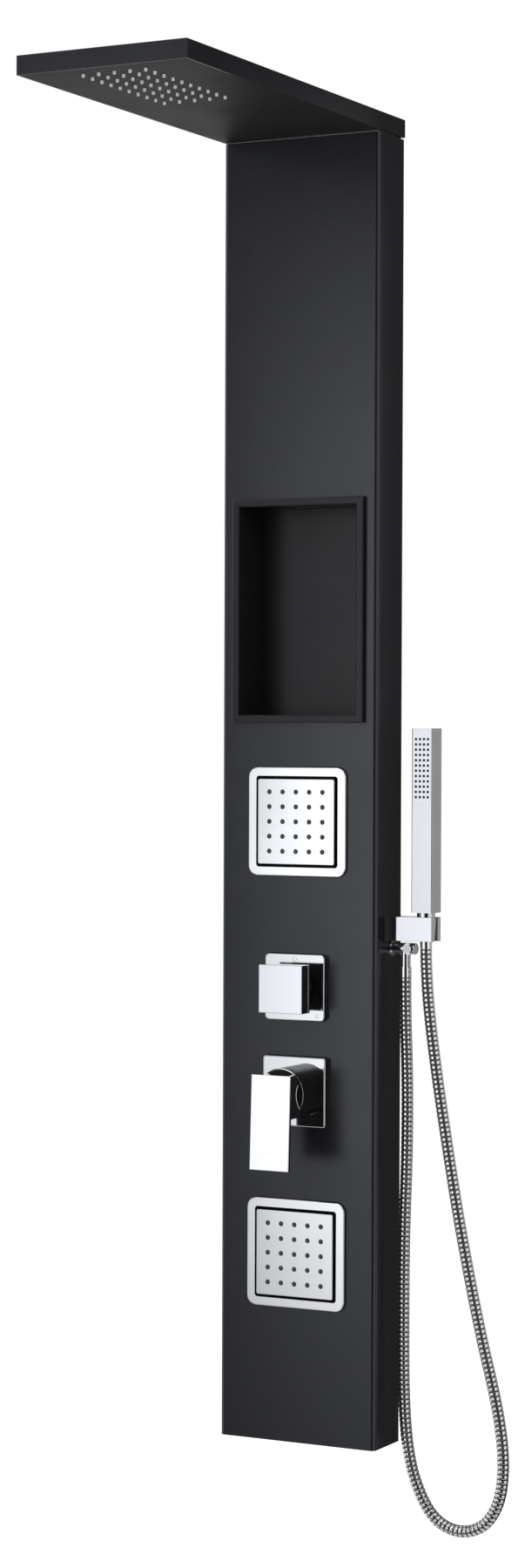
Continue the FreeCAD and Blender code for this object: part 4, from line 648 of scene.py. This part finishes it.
@dataclass(frozen=True)
class Axis:
    """A directed line that turned shapes are built around."""

    origin: Vector
    along: Vector
    side: Vector

    def point(self, radius: float, turn: float, distance: float) -> Vector:
        """A point at a radius and a turn round the line, at a distance along it."""
        across = self.along.cross(self.side)
        return (self.origin + self.along * distance
                + self.side * (radius * math.cos(turn)) + across * (radius * math.sin(turn)))

    def circle(self, radius: float, distance: float, steps: int) -> list[Vector]:
        """The points of a circle round the line, evenly spaced."""
        return [self.point(radius, 2 * math.pi * step / steps, distance) for step in range(steps)]


class Draft:
    """A mesh in the making."""

    def __init__(self) -> None:
        """Start an empty mesh."""
        self.points: list[Vector] = []
        self.faces: list[list[int]] = []

    def ring(self, points: list[Vector]) -> list[int]:
        """Add points.

        Args:
            points: the points, in order.

        Returns:
            Their numbers.
        """
        start = len(self.points)
        self.points.extend(points)
        return list(range(start, len(self.points)))

    def bridge(self, first: list[int], second: list[int]) -> None:
        """Join two closed rings with a band of faces.

        Args:
            first: the first ring's points.
            second: the second ring's points, as many.
        """
        count = len(first)
        for number in range(count):
            after = (number + 1) % count
            self.faces.append([first[number], first[after], second[after], second[number]])

    def skin(self, rings: list[list[int]], closed_ends: bool = True) -> None:
        """Join rings in a row.

        Args:
            rings: the rings' points.
            closed_ends: whether each end gets a face over it.
        """
        for first, second in zip(rings, rings[1:]):
            self.bridge(first, second)
        if closed_ends:
            self.faces.append(list(reversed(rings[0])))
            self.faces.append(list(rings[-1]))

    def turned(self, axis: Axis, profile: list[Span], steps: int, closed_ends: bool = True) -> None:
        """Add a turned shape.

        Args:
            axis: the line that it is turned round.
            profile: its outline, as radius and distance along the axis.
            steps: points in each ring.
            closed_ends: whether each end gets a face over it.
        """
        self.skin([self.ring(axis.circle(radius, distance, steps)) for radius, distance in profile],
                  closed_ends)

    def upright_plate(self, outline: Outline, rear: float, front: float,
                      hole: Outline | None = None) -> None:
        """Add a plate that faces the front.

        Args:
            outline: its outline as (x, z).
            rear: y of its rear face.
            front: y of its front face.
            hole: the outline of a hole through it, with as many points.
        """
        rings = [self.ring([Vector((x, y, z)) for x, z in outline]) for y in (rear, front)]
        if hole is None:
            self.skin(rings)
            return
        inner = [self.ring([Vector((x, y, z)) for x, z in hole]) for y in (front, rear)]
        self.skin(rings + inner + [rings[0]], False)

    def piece(self, name: str, finish: Finish, smooth_angle: float = 40.0) -> bpy.types.Object:
        """Turn the mesh into an object.

        Args:
            name: the object's name.
            finish: its finish.
            smooth_angle: edges sharper than this, in degrees, stay sharp.

        Returns:
            The object, in the scene but on no body yet.
        """
        mesh = bpy.data.meshes.new(name)
        mesh.from_pydata([tuple(point) for point in self.points], [], self.faces)
        work = bmesh.new()
        work.from_mesh(mesh)
        bmesh.ops.remove_doubles(work, verts=work.verts, dist=MERGE_DISTANCE)
        bmesh.ops.recalc_face_normals(work, faces=work.faces)
        work.to_mesh(mesh)
        work.free()
        mesh.polygons.foreach_set("use_smooth", [True] * len(mesh.polygons))
        mesh.set_sharp_from_angle(angle=math.radians(smooth_angle))
        mesh.materials.append(finish.material())
        made = add_object(name, mesh)
        log.info("%s: %d faces, %s", name, len(mesh.polygons), finish.name)
        return made


def rounded_rectangle(width: float, height: float, radius: float, centre: Span,
                      steps: int = 8) -> Outline:
    """Outline of a rectangle with round corners.

    Args:
        width: its width in x.
        height: its size the other way.
        radius: its corners' radius.
        centre: its centre.
        steps: runs in each corner's arc.

    Returns:
        The points, in order.
    """
    points = []
    for quarter, (sign_x, sign_z) in enumerate(((1, 1), (-1, 1), (-1, -1), (1, -1))):
        corner_x = centre[0] + sign_x * (width / 2 - radius)
        corner_z = centre[1] + sign_z * (height / 2 - radius)
        for step in range(steps + 1):
            turn = math.pi / 2 * (quarter + step / steps)
            points.append((corner_x + radius * math.cos(turn), corner_z + radius * math.sin(turn)))
    return points


def middle(node: str) -> Vector:
    """Centre of a CAD node's box."""
    low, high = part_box(node)
    return (low + high) / 2


# ---------------------------------------- repeated details

class Facing(Enum):
    """Which way a nozzle mat points."""

    FRONT = (0.0, -1.0, 0.0)
    DOWN = (0.0, 0.0, -1.0)


@dataclass(frozen=True)
class Tip:
    """A soft nozzle tip with a bore. Its lip is the wall round the bore's mouth."""

    base_radius: float
    end_radius: float
    bore_radius: float
    steps: int = 20
    root_share: float = 0.3
    foot_share: float = 0.15
    shoulder: float = 0.45
    rounding: Span = (0.20, 0.12)
    crown: float = 0.45
    bevel: Span = (0.15, 0.2)
    floor: Span = (0.8, 0.45)

    def add_to(self, draft: Draft, axis: Axis, reach: float, thickness: float) -> None:
        """Add the tip to a mat.

        Args:
            draft: the mesh that it goes into.
            axis: the tip's foot and direction.
            reach: the tip's length.
            thickness: the mat's thickness, in which a share of it is rooted.
        """
        lip = self.end_radius - self.bore_radius
        draft.turned(axis, [
            (self.base_radius, -thickness * self.root_share),
            (self.base_radius, reach * self.foot_share),
            (self.end_radius, reach - lip * self.shoulder),
            (self.end_radius - lip * self.rounding[0], reach - lip * self.rounding[1]),
            (self.end_radius - lip * self.crown, reach),
            (self.bore_radius + lip * self.bevel[0], reach),
            (self.bore_radius, reach - lip * self.bevel[1]),
            (self.bore_radius * self.floor[0], reach * self.floor[1]),
        ], self.steps)


@dataclass(frozen=True)
class NozzleMat:
    """A soft mat with a grid of bored nozzle tips, in place of its CAD node."""

    node: str
    body: str
    columns: int
    rows: int
    pitch_across: float
    pitch_along: float
    tip: Tip
    finish: Finish = DARK_SILICONE
    facing: Facing = Facing.FRONT
    shift_along: float = 0.0
    thickness: float = 0.0015
    level_corner: float = 0.002
    upright_corner: float = 0.0006
    smooth_angle: float = 50.0

    def build(self) -> bpy.types.Object:
        """Build the mat and its tips.

        Returns:
            The piece.
        """
        low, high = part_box(self.node)
        centre = (low + high) / 2
        down = self.facing is Facing.DOWN
        draft = Draft()
        if down:
            mat_face = high.z - self.thickness
            reach = mat_face - low.z
            outline = rounded_rectangle(high.x - low.x, high.y - low.y, self.level_corner,
                                        (centre.x, centre.y))
            draft.skin([draft.ring([Vector((x, y, z)) for x, y in outline]) for z in (high.z, mat_face)])
        else:
            mat_face = high.y - self.thickness
            reach = mat_face - low.y
            outline = rounded_rectangle(high.x - low.x, high.z - low.z, self.upright_corner,
                                        (centre.x, centre.z))
            draft.upright_plate(outline, high.y, mat_face)
        for column in range(self.columns):
            for row in range(self.rows):
                across = centre.x + (column - (self.columns - 1) / 2) * self.pitch_across
                step = (row - (self.rows - 1) / 2) * self.pitch_along + self.shift_along
                spot = (across, centre.y + step, mat_face) if down else (across, mat_face, centre.z + step)
                axis = Axis(Vector(spot), Vector(self.facing.value), RIGHTWARD)
                self.tip.add_to(draft, axis, reach, self.thickness)
        made = draft.piece(self.node + "_bored", self.finish, self.smooth_angle)
        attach(made, self.body)
        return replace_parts(made, self.node)


@dataclass(frozen=True)
class Gasket:
    """A thin rubber seal that shows as a dark line round a cover plate."""

    name: str
    node: str
    margin: float
    corner: float
    band: float = 0.006
    thickness: float = 0.0005

    def build(self) -> bpy.types.Object:
        """Build the seal on the column's face, behind its plate.

        Returns:
            The piece.
        """
        low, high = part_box(self.node)
        centre = ((low.x + high.x) / 2, (low.z + high.z) / 2)
        width = high.x - low.x + 2 * self.margin
        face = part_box("column_shell")[0].y
        outer = rounded_rectangle(width, width, self.corner + self.margin, centre)
        hole = width - 2 * self.band
        inner = rounded_rectangle(hole, hole, self.corner, centre)
        draft = Draft()
        draft.upright_plate(outer, face, face - self.thickness, inner)
        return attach(draft.piece(self.name, GASKET_RUBBER), ROOT)


@dataclass(frozen=True)
class Crimp:
    """A pressed sleeve over one end of a hose inside the column.

    Its two pressed grooves start, deepen, rise and end at shares of its length.
    """

    name: str
    end: Point
    along: Point
    hose_radius: float
    length: float = 0.0110
    wall: float = 0.0007
    waist_share: float = 0.35
    edge: float = 0.0003
    groove_starts: Span = (0.25, 0.62)
    groove_shares: tuple[float, float, float] = (0.06, 0.10, 0.16)
    steps: int = 32

    def build(self) -> bpy.types.Object:
        """Build the sleeve.

        Returns:
            The piece.
        """
        outer = self.hose_radius + self.wall
        waist = self.hose_radius + self.wall * self.waist_share
        deepen, rise, close = self.groove_shares
        profile = [(self.hose_radius, 0.0), (outer, self.edge)]
        for start in self.groove_starts:
            profile += [(outer, self.length * start), (waist, self.length * (start + deepen)),
                        (waist, self.length * (start + rise)), (outer, self.length * (start + close))]
        profile += [(outer, self.length - self.edge), (self.hose_radius, self.length)]
        draft = Draft()
        draft.turned(Axis(Vector(self.end), Vector(self.along), REARWARD), profile, self.steps, False)
        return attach(draft.piece(self.name, ZINC), ROOT)


# ---------------------------------------- sub-assemblies

@dataclass(frozen=True)
class Column:
    """The folded column with its foot cap, and the hooks and bars that hang it on the wall."""

    def build(self) -> None:
        """Dress the column and its fixings."""
        dress(SATIN_BLACK, "column_shell")
        dress(BLACK_PLASTIC, "bottom_cap")
        dress(ZINC, "wall_brackets", "hanger_bars")


@dataclass(frozen=True)
class Niche:
    """The recessed shelf and its four trim strips."""

    def build(self) -> None:
        """Dress the tub and the trim."""
        dress(NICHE_BLACK, "niche_tub")
        dress(DARK_TRIM, "niche_trim")


@dataclass(frozen=True)
class OverheadHead:
    """The overhead head: shell, soffit, rain nozzles, water box and bracket."""

    columns: int = 5
    rows: int = 10
    pitch_across: float = 0.0187
    pitch_along: float = 0.0191
    tip: Tip = Tip(base_radius=0.0020, end_radius=0.0016, bore_radius=0.0006)

    def build(self) -> None:
        """Dress the head and build its rain nozzles."""
        dress(SATIN_BLACK, "head_shell")
        dress(SOFFIT_BLACK, "head_soffit")
        dress(BLACK_PLASTIC, "head_water_box")
        dress(TURNED_BRASS, "head_feed_pipe")
        dress(ZINC, "head_bracket", "head_bolts")
        NozzleMat("head_nozzles", ROOT, self.columns, self.rows, self.pitch_across, self.pitch_along,
                  self.tip, SILICONE, Facing.DOWN).build()


@dataclass(frozen=True)
class BodyJet:
    """One square swivelling body jet."""

    name: str
    count: int = 5
    pitch: float = 0.0171
    tip: Tip = Tip(base_radius=0.0022, end_radius=0.0019, bore_radius=0.0006)
    frame_corner: float = 0.0115
    gasket_margin: float = 0.0009

    def build(self) -> None:
        """Dress the jet, and build its seal line and its nozzles."""
        dress(LIT_FRAME_CHROME, f"{self.name}_frame")
        dress(SATIN_CHROME, f"{self.name}_face")
        dress(BLACK_PLASTIC, f"{self.name}_housing", f"{self.name}_back")
        dress(WHITE_PLASTIC, f"{self.name}_seal")
        Gasket(f"{self.name}_gasket", f"{self.name}_frame", self.gasket_margin,
               self.frame_corner).build()
        NozzleMat(f"{self.name}_nozzles", f"{self.name}_head", self.count, self.count, self.pitch,
                  self.pitch, self.tip).build()


@dataclass(frozen=True)
class OutletSelector:
    """The outlet selector with its square knob, and ring marks for its outlets.

    Each mark is (name, distance across, height, middle radius), from the plate's centre.
    """

    plate_corner: float = 0.005
    plate_face: float = -0.073
    gasket_margin: float = 0.0008
    mark_line: float = 0.0004
    mark_rise: float = 0.00012
    mark_sink: float = 0.0001
    mark_steps: int = 28
    marks: tuple[tuple[str, float, float, float], ...] = (
        ("top_outlet_mark", 0.0, 0.0325, 0.0026), ("side_outlet_mark", 0.0290, -0.0325, 0.0018))

    def build(self) -> None:
        """Dress the selector, and build its seal line and its marks."""
        dress(NECKED_CHROME, "diverter_plate")
        dress(KNOB_CHROME, "diverter_knob")
        dress(ZINC, "diverter_knob_screw")
        dress(WHITE_PLASTIC, "diverter_cartridge")
        dress(CAST_BRASS, "diverter_body")
        dress(TURNED_BRASS, "diverter_spindle", "valve_nuts")
        Gasket("diverter_gasket", "diverter_plate", self.gasket_margin, self.plate_corner).build()
        centre = middle("diverter_plate")
        for name, across, rise, radius in self.marks:
            self.mark(name, centre.x + across, centre.z + rise, radius)

    def mark(self, name: str, x: float, z: float, radius: float) -> None:
        """Print a ring on the plate.

        Args:
            name: the ring's name.
            x: its centre across.
            z: its centre's height.
            radius: its middle radius.
        """
        axis = Axis(Vector((x, self.plate_face, z)), FRONTWARD, RIGHTWARD)
        inner, outer = radius - self.mark_line / 2, radius + self.mark_line / 2
        profile = [(inner, -self.mark_sink), (inner, self.mark_rise), (outer, self.mark_rise),
                   (outer, -self.mark_sink), (inner, -self.mark_sink)]
        draft = Draft()
        draft.turned(axis, profile, self.mark_steps, False)
        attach(draft.piece(name, GREY_MARK), ROOT)


@dataclass(frozen=True)
class LeverMixer:
    """The lever mixer with its round sleeve and the sleeve's bright rim."""

    plate_corner: float = 0.003
    gasket_margin: float = 0.0008
    rim_band: float = 0.0008
    rim_lift: float = 0.0002
    rim_round: float = 0.0002
    rim_sink: float = 0.0001
    rim_steps: int = 72

    def build(self) -> None:
        """Dress the mixer, and build its seal line and the sleeve's rim."""
        dress(CHROME, "mixer_plate")
        dress(SLEEVE_BLACK, "mixer_sleeve")
        dress(LEVER_CHROME, "mixer_lever")
        dress(ZINC, "mixer_stem", "mixer_lever_screw")
        dress(WHITE_PLASTIC, "mixer_cartridge", "mixer_guide")
        dress(CAST_BRASS, "mixer_body")
        Gasket("mixer_gasket", "mixer_plate", self.gasket_margin, self.plate_corner).build()
        self.rim()

    def rim(self) -> None:
        """Put a thin bright ring round the sleeve's front edge."""
        low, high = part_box("mixer_sleeve")
        centre = (low + high) / 2
        radius = (high.x - low.x) / 2
        axis = Axis(Vector((centre.x, low.y, centre.z)), FRONTWARD, RIGHTWARD)
        inner, outer, edge = radius - self.rim_band, radius + self.rim_lift, radius - self.rim_round
        profile = [(inner, -self.rim_sink), (inner, self.rim_lift), (edge, self.rim_lift),
                   (outer, -self.rim_sink), (outer, -self.rim_band), (edge, -self.rim_band),
                   (inner, -self.rim_sink)]
        draft = Draft()
        draft.turned(axis, profile, self.rim_steps, False)
        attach(draft.piece("mixer_sleeve_rim", CHROME), ROOT)


@dataclass(frozen=True)
class HandShower:
    """The hand shower, its slotted holder and the water outlet under it."""

    columns: int = 4
    rows: int = 12
    pitch_across: float = 0.005
    pitch_along: float = 0.006
    grid_shift: float = -0.0023
    tip: Tip = Tip(base_radius=0.0011, end_radius=0.00095, bore_radius=0.0004, steps=12)

    def build(self) -> None:
        """Dress the hand shower, holder and outlet, and build the spray nozzles."""
        dress(SOFT_CHROME, "handset_body")
        dress(LIT_HOLDER_CHROME, "holder_block")
        dress(CHROME, "outlet_elbow", "hose_cone_nut", "hose_ferrule")
        dress(PLUG_CHROME, "outlet_plug")
        dress(SPRAY_FACE, "handset_face")
        dress(BLACK_PLASTIC, "holder_base_plate")
        dress(ZINC, "holder_screws")
        dress(TURNED_BRASS, "outlet_locknut")
        NozzleMat("handset_nozzles", "hand_shower", self.columns, self.rows, self.pitch_across,
                  self.pitch_along, self.tip, shift_along=self.grid_shift).build()


@dataclass(frozen=True)
class ShowerHose:
    """The free ribbed hose: a run fixed to the elbow, and a run that leads up to the hand shower.

    Each rib is given by points of (share of the pitch, share of the groove's depth).
    """

    crest: float = 0.0069
    groove: float = 0.0059
    pitch: float = 0.0055
    collar: float = 0.0120
    collar_edge: float = 0.0003
    collar_rings: int = 2
    steps: int = 24
    smooth_angle: float = 35.0
    resolution: int = 24
    rib: tuple[Span, ...] = (
        (0.0, 1.0), (0.04, 0.32), (0.10, 0.10), (0.455, 0.0), (0.81, 0.10), (0.87, 0.32), (0.91, 1.0))
    # Painted shade in the grooves is full from this share of the groove's depth down.
    shade_full_depth: float = 0.35
    bend_start: float = 0.020
    bend_end: float = 0.576

    def line(self) -> np.ndarray:
        """Read the hose's centre line from the smooth spline that the route controls.

        Returns:
            The line's points, one a row.
        """
        curve = bpy.data.curves.new("hose_line", "CURVE")
        curve.dimensions = "3D"
        curve.resolution_u = self.resolution
        spline = curve.splines.new("NURBS")
        spline.points.add(len(HOSE_ROUTE) - 1)
        for point, (out, height) in zip(spline.points, HOSE_ROUTE):
            point.co = (SIDE_FACE + out, SERVICE_PLANE, FOOT_HEIGHT + height, 1.0)
        spline.order_u = 3
        spline.use_endpoint_u = True
        holder = bpy.data.objects.new("hose_line", curve)
        mesh = bpy.data.meshes.new_from_object(holder)
        points = np.array([vertex.co for vertex in mesh.vertices], float)
        bpy.data.meshes.remove(mesh)
        bpy.data.curves.remove(curve)
        return points

    def stations(self, total: float) -> tuple[list[float], list[float]]:
        """Lay out the hose's rings, with a smooth collar at each end.

        Args:
            total: the hose's length.

        Returns:
            The rings' distances along the hose, and their radii.
        """
        ribbed = total - 2 * self.collar
        count = round(ribbed / self.pitch)
        distances = [0.0, self.collar - self.collar_edge]
        radii = [self.crest, self.crest]
        for number in range(count):
            for share, depth in self.rib:
                distances.append(self.collar + (number + share) * ribbed / count)
                radii.append(self.crest - depth * (self.crest - self.groove))
        distances += [total - self.collar + self.collar_edge, total]
        return distances, radii + [self.crest, self.crest]

    def build(self) -> None:
        line = self.line()
        steps = np.linalg.norm(np.diff(line, axis=0), axis=1)
        passed = np.concatenate([[0.0], np.cumsum(steps)])
        distances, radii = self.stations(float(passed[-1]))
        centres = np.stack([np.interp(distances, passed, line[:, axis]) for axis in range(3)], axis=1)
        furthest = int(np.argmax(centres[:, 0]))
        split = furthest - (furthest - self.collar_rings) % len(self.rib)
        log.info("hose: %.4f m, %d rings, split at ring %d", passed[-1], len(radii), split)
        fixed = self.run("hose_fixed_run", centres[:split + 1], radii[:split + 1])
        moving = self.run("hose_moving_run", centres[split:], radii[split:])
        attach(fixed, ROOT)
        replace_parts(fixed, "shower_hose")
        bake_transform(moving)

    def run(self, name: str, centres: np.ndarray, radii: list[float]) -> bpy.types.Object:
        """Build one run of ribbed tube.

        Args:
            name: the piece's name.
            centres: its rings' centres.
            radii: its rings' radii.

        Returns:
            The piece.
        """
        draft = Draft()
        rings = []
        for centre, direction, radius in zip(centres, np.gradient(centres, axis=0), radii):
            axis = Axis(Vector(centre), Vector(direction).normalized(), REARWARD)
            rings.append(draft.ring(axis.circle(radius, 0.0, self.steps)))
        draft.skin(rings)
        made = draft.piece(name, HOSE_CHROME, self.smooth_angle)
        # Painted shade: 0 on the crests, rising to 1 at the shade's full depth in each groove.
        depth = (self.crest - np.repeat(radii, self.steps)) / (self.crest - self.groove)
        depth = np.clip(depth / self.shade_full_depth, 0.0, 1.0)
        shade_layer = made.data.attributes.new(GROOVE_SHADE_LAYER, "FLOAT", "POINT")
        shade_layer.data.foreach_set("value", depth.astype(np.float32))
        return made


@dataclass(frozen=True)
class Plumbing:
    """Hoses and pipes inside the column, with the sleeves on their ends."""

    port_rise: float = 0.0095
    inlet_plane: float = -0.046
    hose_radius: float = 0.0065
    supply_hose_radius: float = 0.0070

    def build(self) -> None:
        """Dress the hoses and build a sleeve on each hose end."""
        dress(BRAIDED_HOSE, "link_hose", "upper_jet_hose", "lower_jet_hose", "head_hose",
              "hot_supply_hose", "cold_supply_hose")
        dress(TURNED_BRASS, "handset_feed_pipe", "supply_nuts")
        for name, end, along in self.ends():
            radius = self.supply_hose_radius if "supply" in name else self.hose_radius
            Crimp(name, end, along, radius).build()

    def ends(self) -> list[tuple[str, Point, Point]]:
        """Find the hose ends that have a sleeve.

        Returns:
            Name, place and inward direction of each sleeve.
        """
        y = SERVICE_PLANE
        diverter = middle("diverter_knob").z
        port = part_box("diverter_body")[0].x
        found = []
        for hose in ("link_hose", "upper_jet_hose"):
            low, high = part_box(hose)
            found.append((f"{hose}_lower_sleeve", (0.0, y, low.z), (0.0, 0.0, 1.0)))
            found.append((f"{hose}_upper_sleeve", (0.0, y, high.z), (0.0, 0.0, -1.0)))
        for hose, sign in (("lower_jet_hose", -1), ("head_hose", 1)):
            found.append((f"{hose}_port_sleeve", (port, y, diverter + self.port_rise * sign),
                          (-1.0, 0.0, 0.0)))
        found.append(("lower_jet_hose_end_sleeve", (0.0, y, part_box("lower_jet_hose")[0].z),
                      (0.0, 0.0, 1.0)))
        mixer = middle("mixer_sleeve").z
        for hose, sign in (("hot_supply_hose", -1), ("cold_supply_hose", 1)):
            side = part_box("mixer_body")[1].x * sign
            found.append((f"{hose}_sleeve", (side, self.inlet_plane, mixer), (float(sign), 0.0, 0.0)))
        return found


# ---------------------------------------- studio

@dataclass(frozen=True)
class Card:
    """A flat card that only shows in reflections.

    Its left and right are as seen from the side that it faces.
    """

    name: str
    centre: Point
    facing: Point
    width: float
    height: float
    left_level: float
    right_level: float
    side_fade: float
    top_fade: float
    foot_fade: float
    tint: Colour = WHITE

    def build(self) -> None:
        """Stand the card in the studio."""
        mesh = level_rectangle(self.name, self.width, self.height)
        mesh.materials.append(self.material())
        made = add_object(self.name, mesh)
        aim(made, self.centre, Vector(self.facing), "Z")
        made.visible_camera = False
        made.visible_diffuse = False
        made.visible_shadow = False
        made.visible_transmission = False

    def material(self) -> bpy.types.Material:
        """Make the card's glow, which changes from side to side and fades at its edges.

        Returns:
            The material.
        """
        material, graph, shader = new_material(self.name)
        shader.inputs["Base Color"].default_value = (*BLACK, 1.0)
        shader.inputs["Specular IOR Level"].default_value = 0.0
        place = graph.axes(graph.place())
        side, top = self.width / 2, self.height / 2
        level = graph.span(place["X"], -side, side, self.left_level, self.right_level)
        for axis, sign, reach, fade in (("X", 1.0, side, self.side_fade), ("X", -1.0, side, self.side_fade),
                                        ("Y", 1.0, top, self.top_fade), ("Y", -1.0, top, self.foot_fade)):
            level = graph.times(level, graph.span(place[axis], sign * (reach - fade), sign * reach,
                                                  start=1.0, end=0.0))
        glow = graph.add("VectorMath", operation="SCALE", Scale=level)
        glow.inputs[0].default_value = self.tint
        graph.put(shader.inputs["Emission Color"], glow.outputs[0])
        shader.inputs["Emission Strength"].default_value = 1.0
        return material


@dataclass(frozen=True)
class Lamp:
    """A soft lamp with a rectangular face, which no polished part mirrors. Its power is in watts."""

    name: str
    place: Point
    target: Point
    width: float
    height: float
    power: float

    def build(self) -> None:
        """Hang the lamp."""
        data = bpy.data.lights.new(self.name, "AREA")
        data.shape = "RECTANGLE"
        data.size, data.size_y = self.width, self.height
        data.energy = self.power
        made = add_object(self.name, data)
        aim(made, self.place, Vector(self.target) - Vector(self.place), "-Z")
        made.visible_camera = False
        made.visible_glossy = False


@dataclass(frozen=True)
class Studio:
    """Camera, floor, backdrop and soft lights.

    The walls, strip, ceiling and ground are spans of one part of the direction that a polished
    surface looks in. Each is dark at its first value and bright at its second.
    """

    lens: float = 77.3575
    azimuth: float = 27.716
    pitch: float = 0.913
    roll: float = 0.204
    place: Point = (1.764229, -3.511870, -0.528880)
    view_end: float = 60.0
    floor_height: float = -1.62
    floor_reach: float = 30.0
    floor_glow: float = 0.65
    floor_roughness: float = 0.9
    floor_specular: float = 0.1
    floor_mottle: float = 3.0
    floor_colours: tuple[Colour, Colour] = ((0.90, 0.90, 0.90), (0.93, 0.93, 0.93))
    room_light: float = 0.45
    room_dark: float = 0.08
    room_black: float = 0.02
    room_bright: float = 0.92
    right_wall: Span = (0.68, 0.88)
    left_wall: Span = (-0.68, -0.75)
    strip_left: Span = (-0.42, -0.34)
    strip_right: Span = (0.15, 0.0)
    strip_level: Span = (0.34, 0.20)
    strip_front: Span = (-0.3, -0.6)
    ceiling: Span = (0.50, 0.80)
    ground: Span = (-0.50, -0.80)
    ground_share: float = 0.7
    rear_shade: Span = (-0.3, 0.1)
    lamps: tuple[Lamp, ...] = (
        Lamp("front_key", (-1.2, -2.4, 0.7), (0.0, 0.0, -0.6), 1.6, 1.6, 40.0),
        Lamp("right_fill", (1.9, -1.2, 0.2), (0.1, 0.0, -0.6), 1.2, 1.6, 12.0),
    )
    cards: tuple[Card, ...] = (
        Card("soft_box", (-0.351, -0.98, -0.775), (0.0, 1.0, 0.0), 0.442, 2.35, 2.00, 0.90,
             0.012, 0.55, 0.95, (0.955, 0.97, 1.0)),
        Card("wall_glow", (0.37, 0.03, -0.60), (0.0, -1.0, 0.0), 0.46, 1.80, 0.50, 0.30,
             0.03, 0.30, 0.30),
        Card("left_back_glow", (-0.80, 1.0, -0.30), (0.0, -1.0, 0.0), 1.2, 1.2, 0.55, 0.80,
             0.10, 0.30, 0.30),
    )

    def build(self) -> None:
        """Set up everything that isn't the panel itself."""
        bpy.context.scene.view_settings.view_transform = "Standard"
        self.camera()
        self.floor()
        self.room()
        for light in (*self.lamps, *self.cards):
            light.build()

    def camera(self) -> None:
        """Stand the camera where the photograph was taken from."""
        azimuth, pitch, roll = (math.radians(angle) for angle in (self.azimuth, self.pitch, self.roll))
        back = Vector((math.sin(azimuth) * math.cos(pitch), -math.cos(azimuth) * math.cos(pitch),
                       math.sin(pitch)))
        right = (-back).cross(Vector((0.0, 0.0, 1.0))).normalized()
        upward = right.cross(-back)
        across = right * math.cos(roll) + upward * math.sin(roll)
        above = upward * math.cos(roll) - right * math.sin(roll)
        data = bpy.data.cameras.new("camera")
        data.lens = self.lens
        data.clip_end = self.view_end
        made = add_object("camera", data)
        turn = Matrix((across, above, back)).transposed().to_4x4()
        made.matrix_world = Matrix.Translation(Vector(self.place)) @ turn
        bpy.context.scene.camera = made

    def floor(self) -> None:
        """Lay the pale floor, which keeps the panel's shadow."""
        material, graph, shader = new_material("pale_floor")
        shader.inputs["Roughness"].default_value = self.floor_roughness
        shader.inputs["Specular IOR Level"].default_value = self.floor_specular
        mottle = graph.noise(graph.place(), self.floor_mottle)
        graph.put(shader.inputs["Base Color"], graph.tint(mottle, *self.floor_colours))
        seen = graph.add("LightPath").outputs["Is Camera Ray"]
        shader.inputs["Emission Strength"].default_value = self.floor_glow
        graph.put(shader.inputs["Emission Color"], graph.tint(seen, BLACK, WHITE))
        mesh = level_rectangle("floor", 2 * self.floor_reach, 2 * self.floor_reach, self.floor_height)
        mesh.materials.append(material)
        made = add_object("floor", mesh)
        made.visible_glossy = False

    def room(self) -> None:
        """Light the room evenly, with a white backdrop.

        Polished parts mirror bright side walls, ground and ceiling, a low bright strip straight
        ahead, and darkness between them.
        """
        world = bpy.data.worlds.new("studio_room")
        bpy.context.scene.world = world
        world.use_nodes = True
        graph = Graph(world.node_tree)
        back = world.node_tree.nodes["Background"]
        back.inputs["Color"].default_value = (*WHITE, 1.0)
        look = graph.axes(graph.add("TexCoord").outputs["Generated"])
        walls = graph.larger(graph.span(look["X"], *self.right_wall),
                             graph.span(look["X"], *self.left_wall))
        strip = graph.times(graph.span(look["X"], *self.strip_left),
                            graph.span(look["X"], *self.strip_right))
        level = graph.times(graph.span(graph.math("ABSOLUTE", look["Z"]), *self.strip_level),
                            graph.span(look["Y"], *self.strip_front))
        above = graph.span(look["Z"], *self.ceiling)
        below = graph.span(look["Z"], *self.ground, end=self.ground_share)
        bright = graph.larger(graph.larger(walls, graph.times(strip, level)),
                              graph.larger(above, below))
        shaded = graph.span(look["Y"], *self.rear_shade, self.room_black, self.room_dark)
        glint = graph.larger(shaded, graph.times(bright, self.room_bright))
        path = graph.add("LightPath").outputs
        mirrored = graph.times(path["Is Glossy Ray"], glint)
        lit = graph.times(path["Is Diffuse Ray"], self.room_light)
        seen = graph.larger(path["Is Camera Ray"], path["Is Transmission Ray"])
        graph.put(back.inputs["Strength"], graph.larger(seen, graph.larger(mirrored, lit)))


def main() -> None:
    """Build the studio and every sub-assembly."""
    logging.basicConfig(level=logging.INFO, format="%(name)s: %(message)s")
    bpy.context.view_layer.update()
    Studio().build()
    for assembly in (ShowerHose(), Column(), Niche(), OverheadHead(), BodyJet("upper_jet"),
                     BodyJet("lower_jet"), OutletSelector(), LeverMixer(), HandShower(), Plumbing()):
        log.info("building %s", assembly)
        assembly.build()


if __name__ == "__main__":
    main()
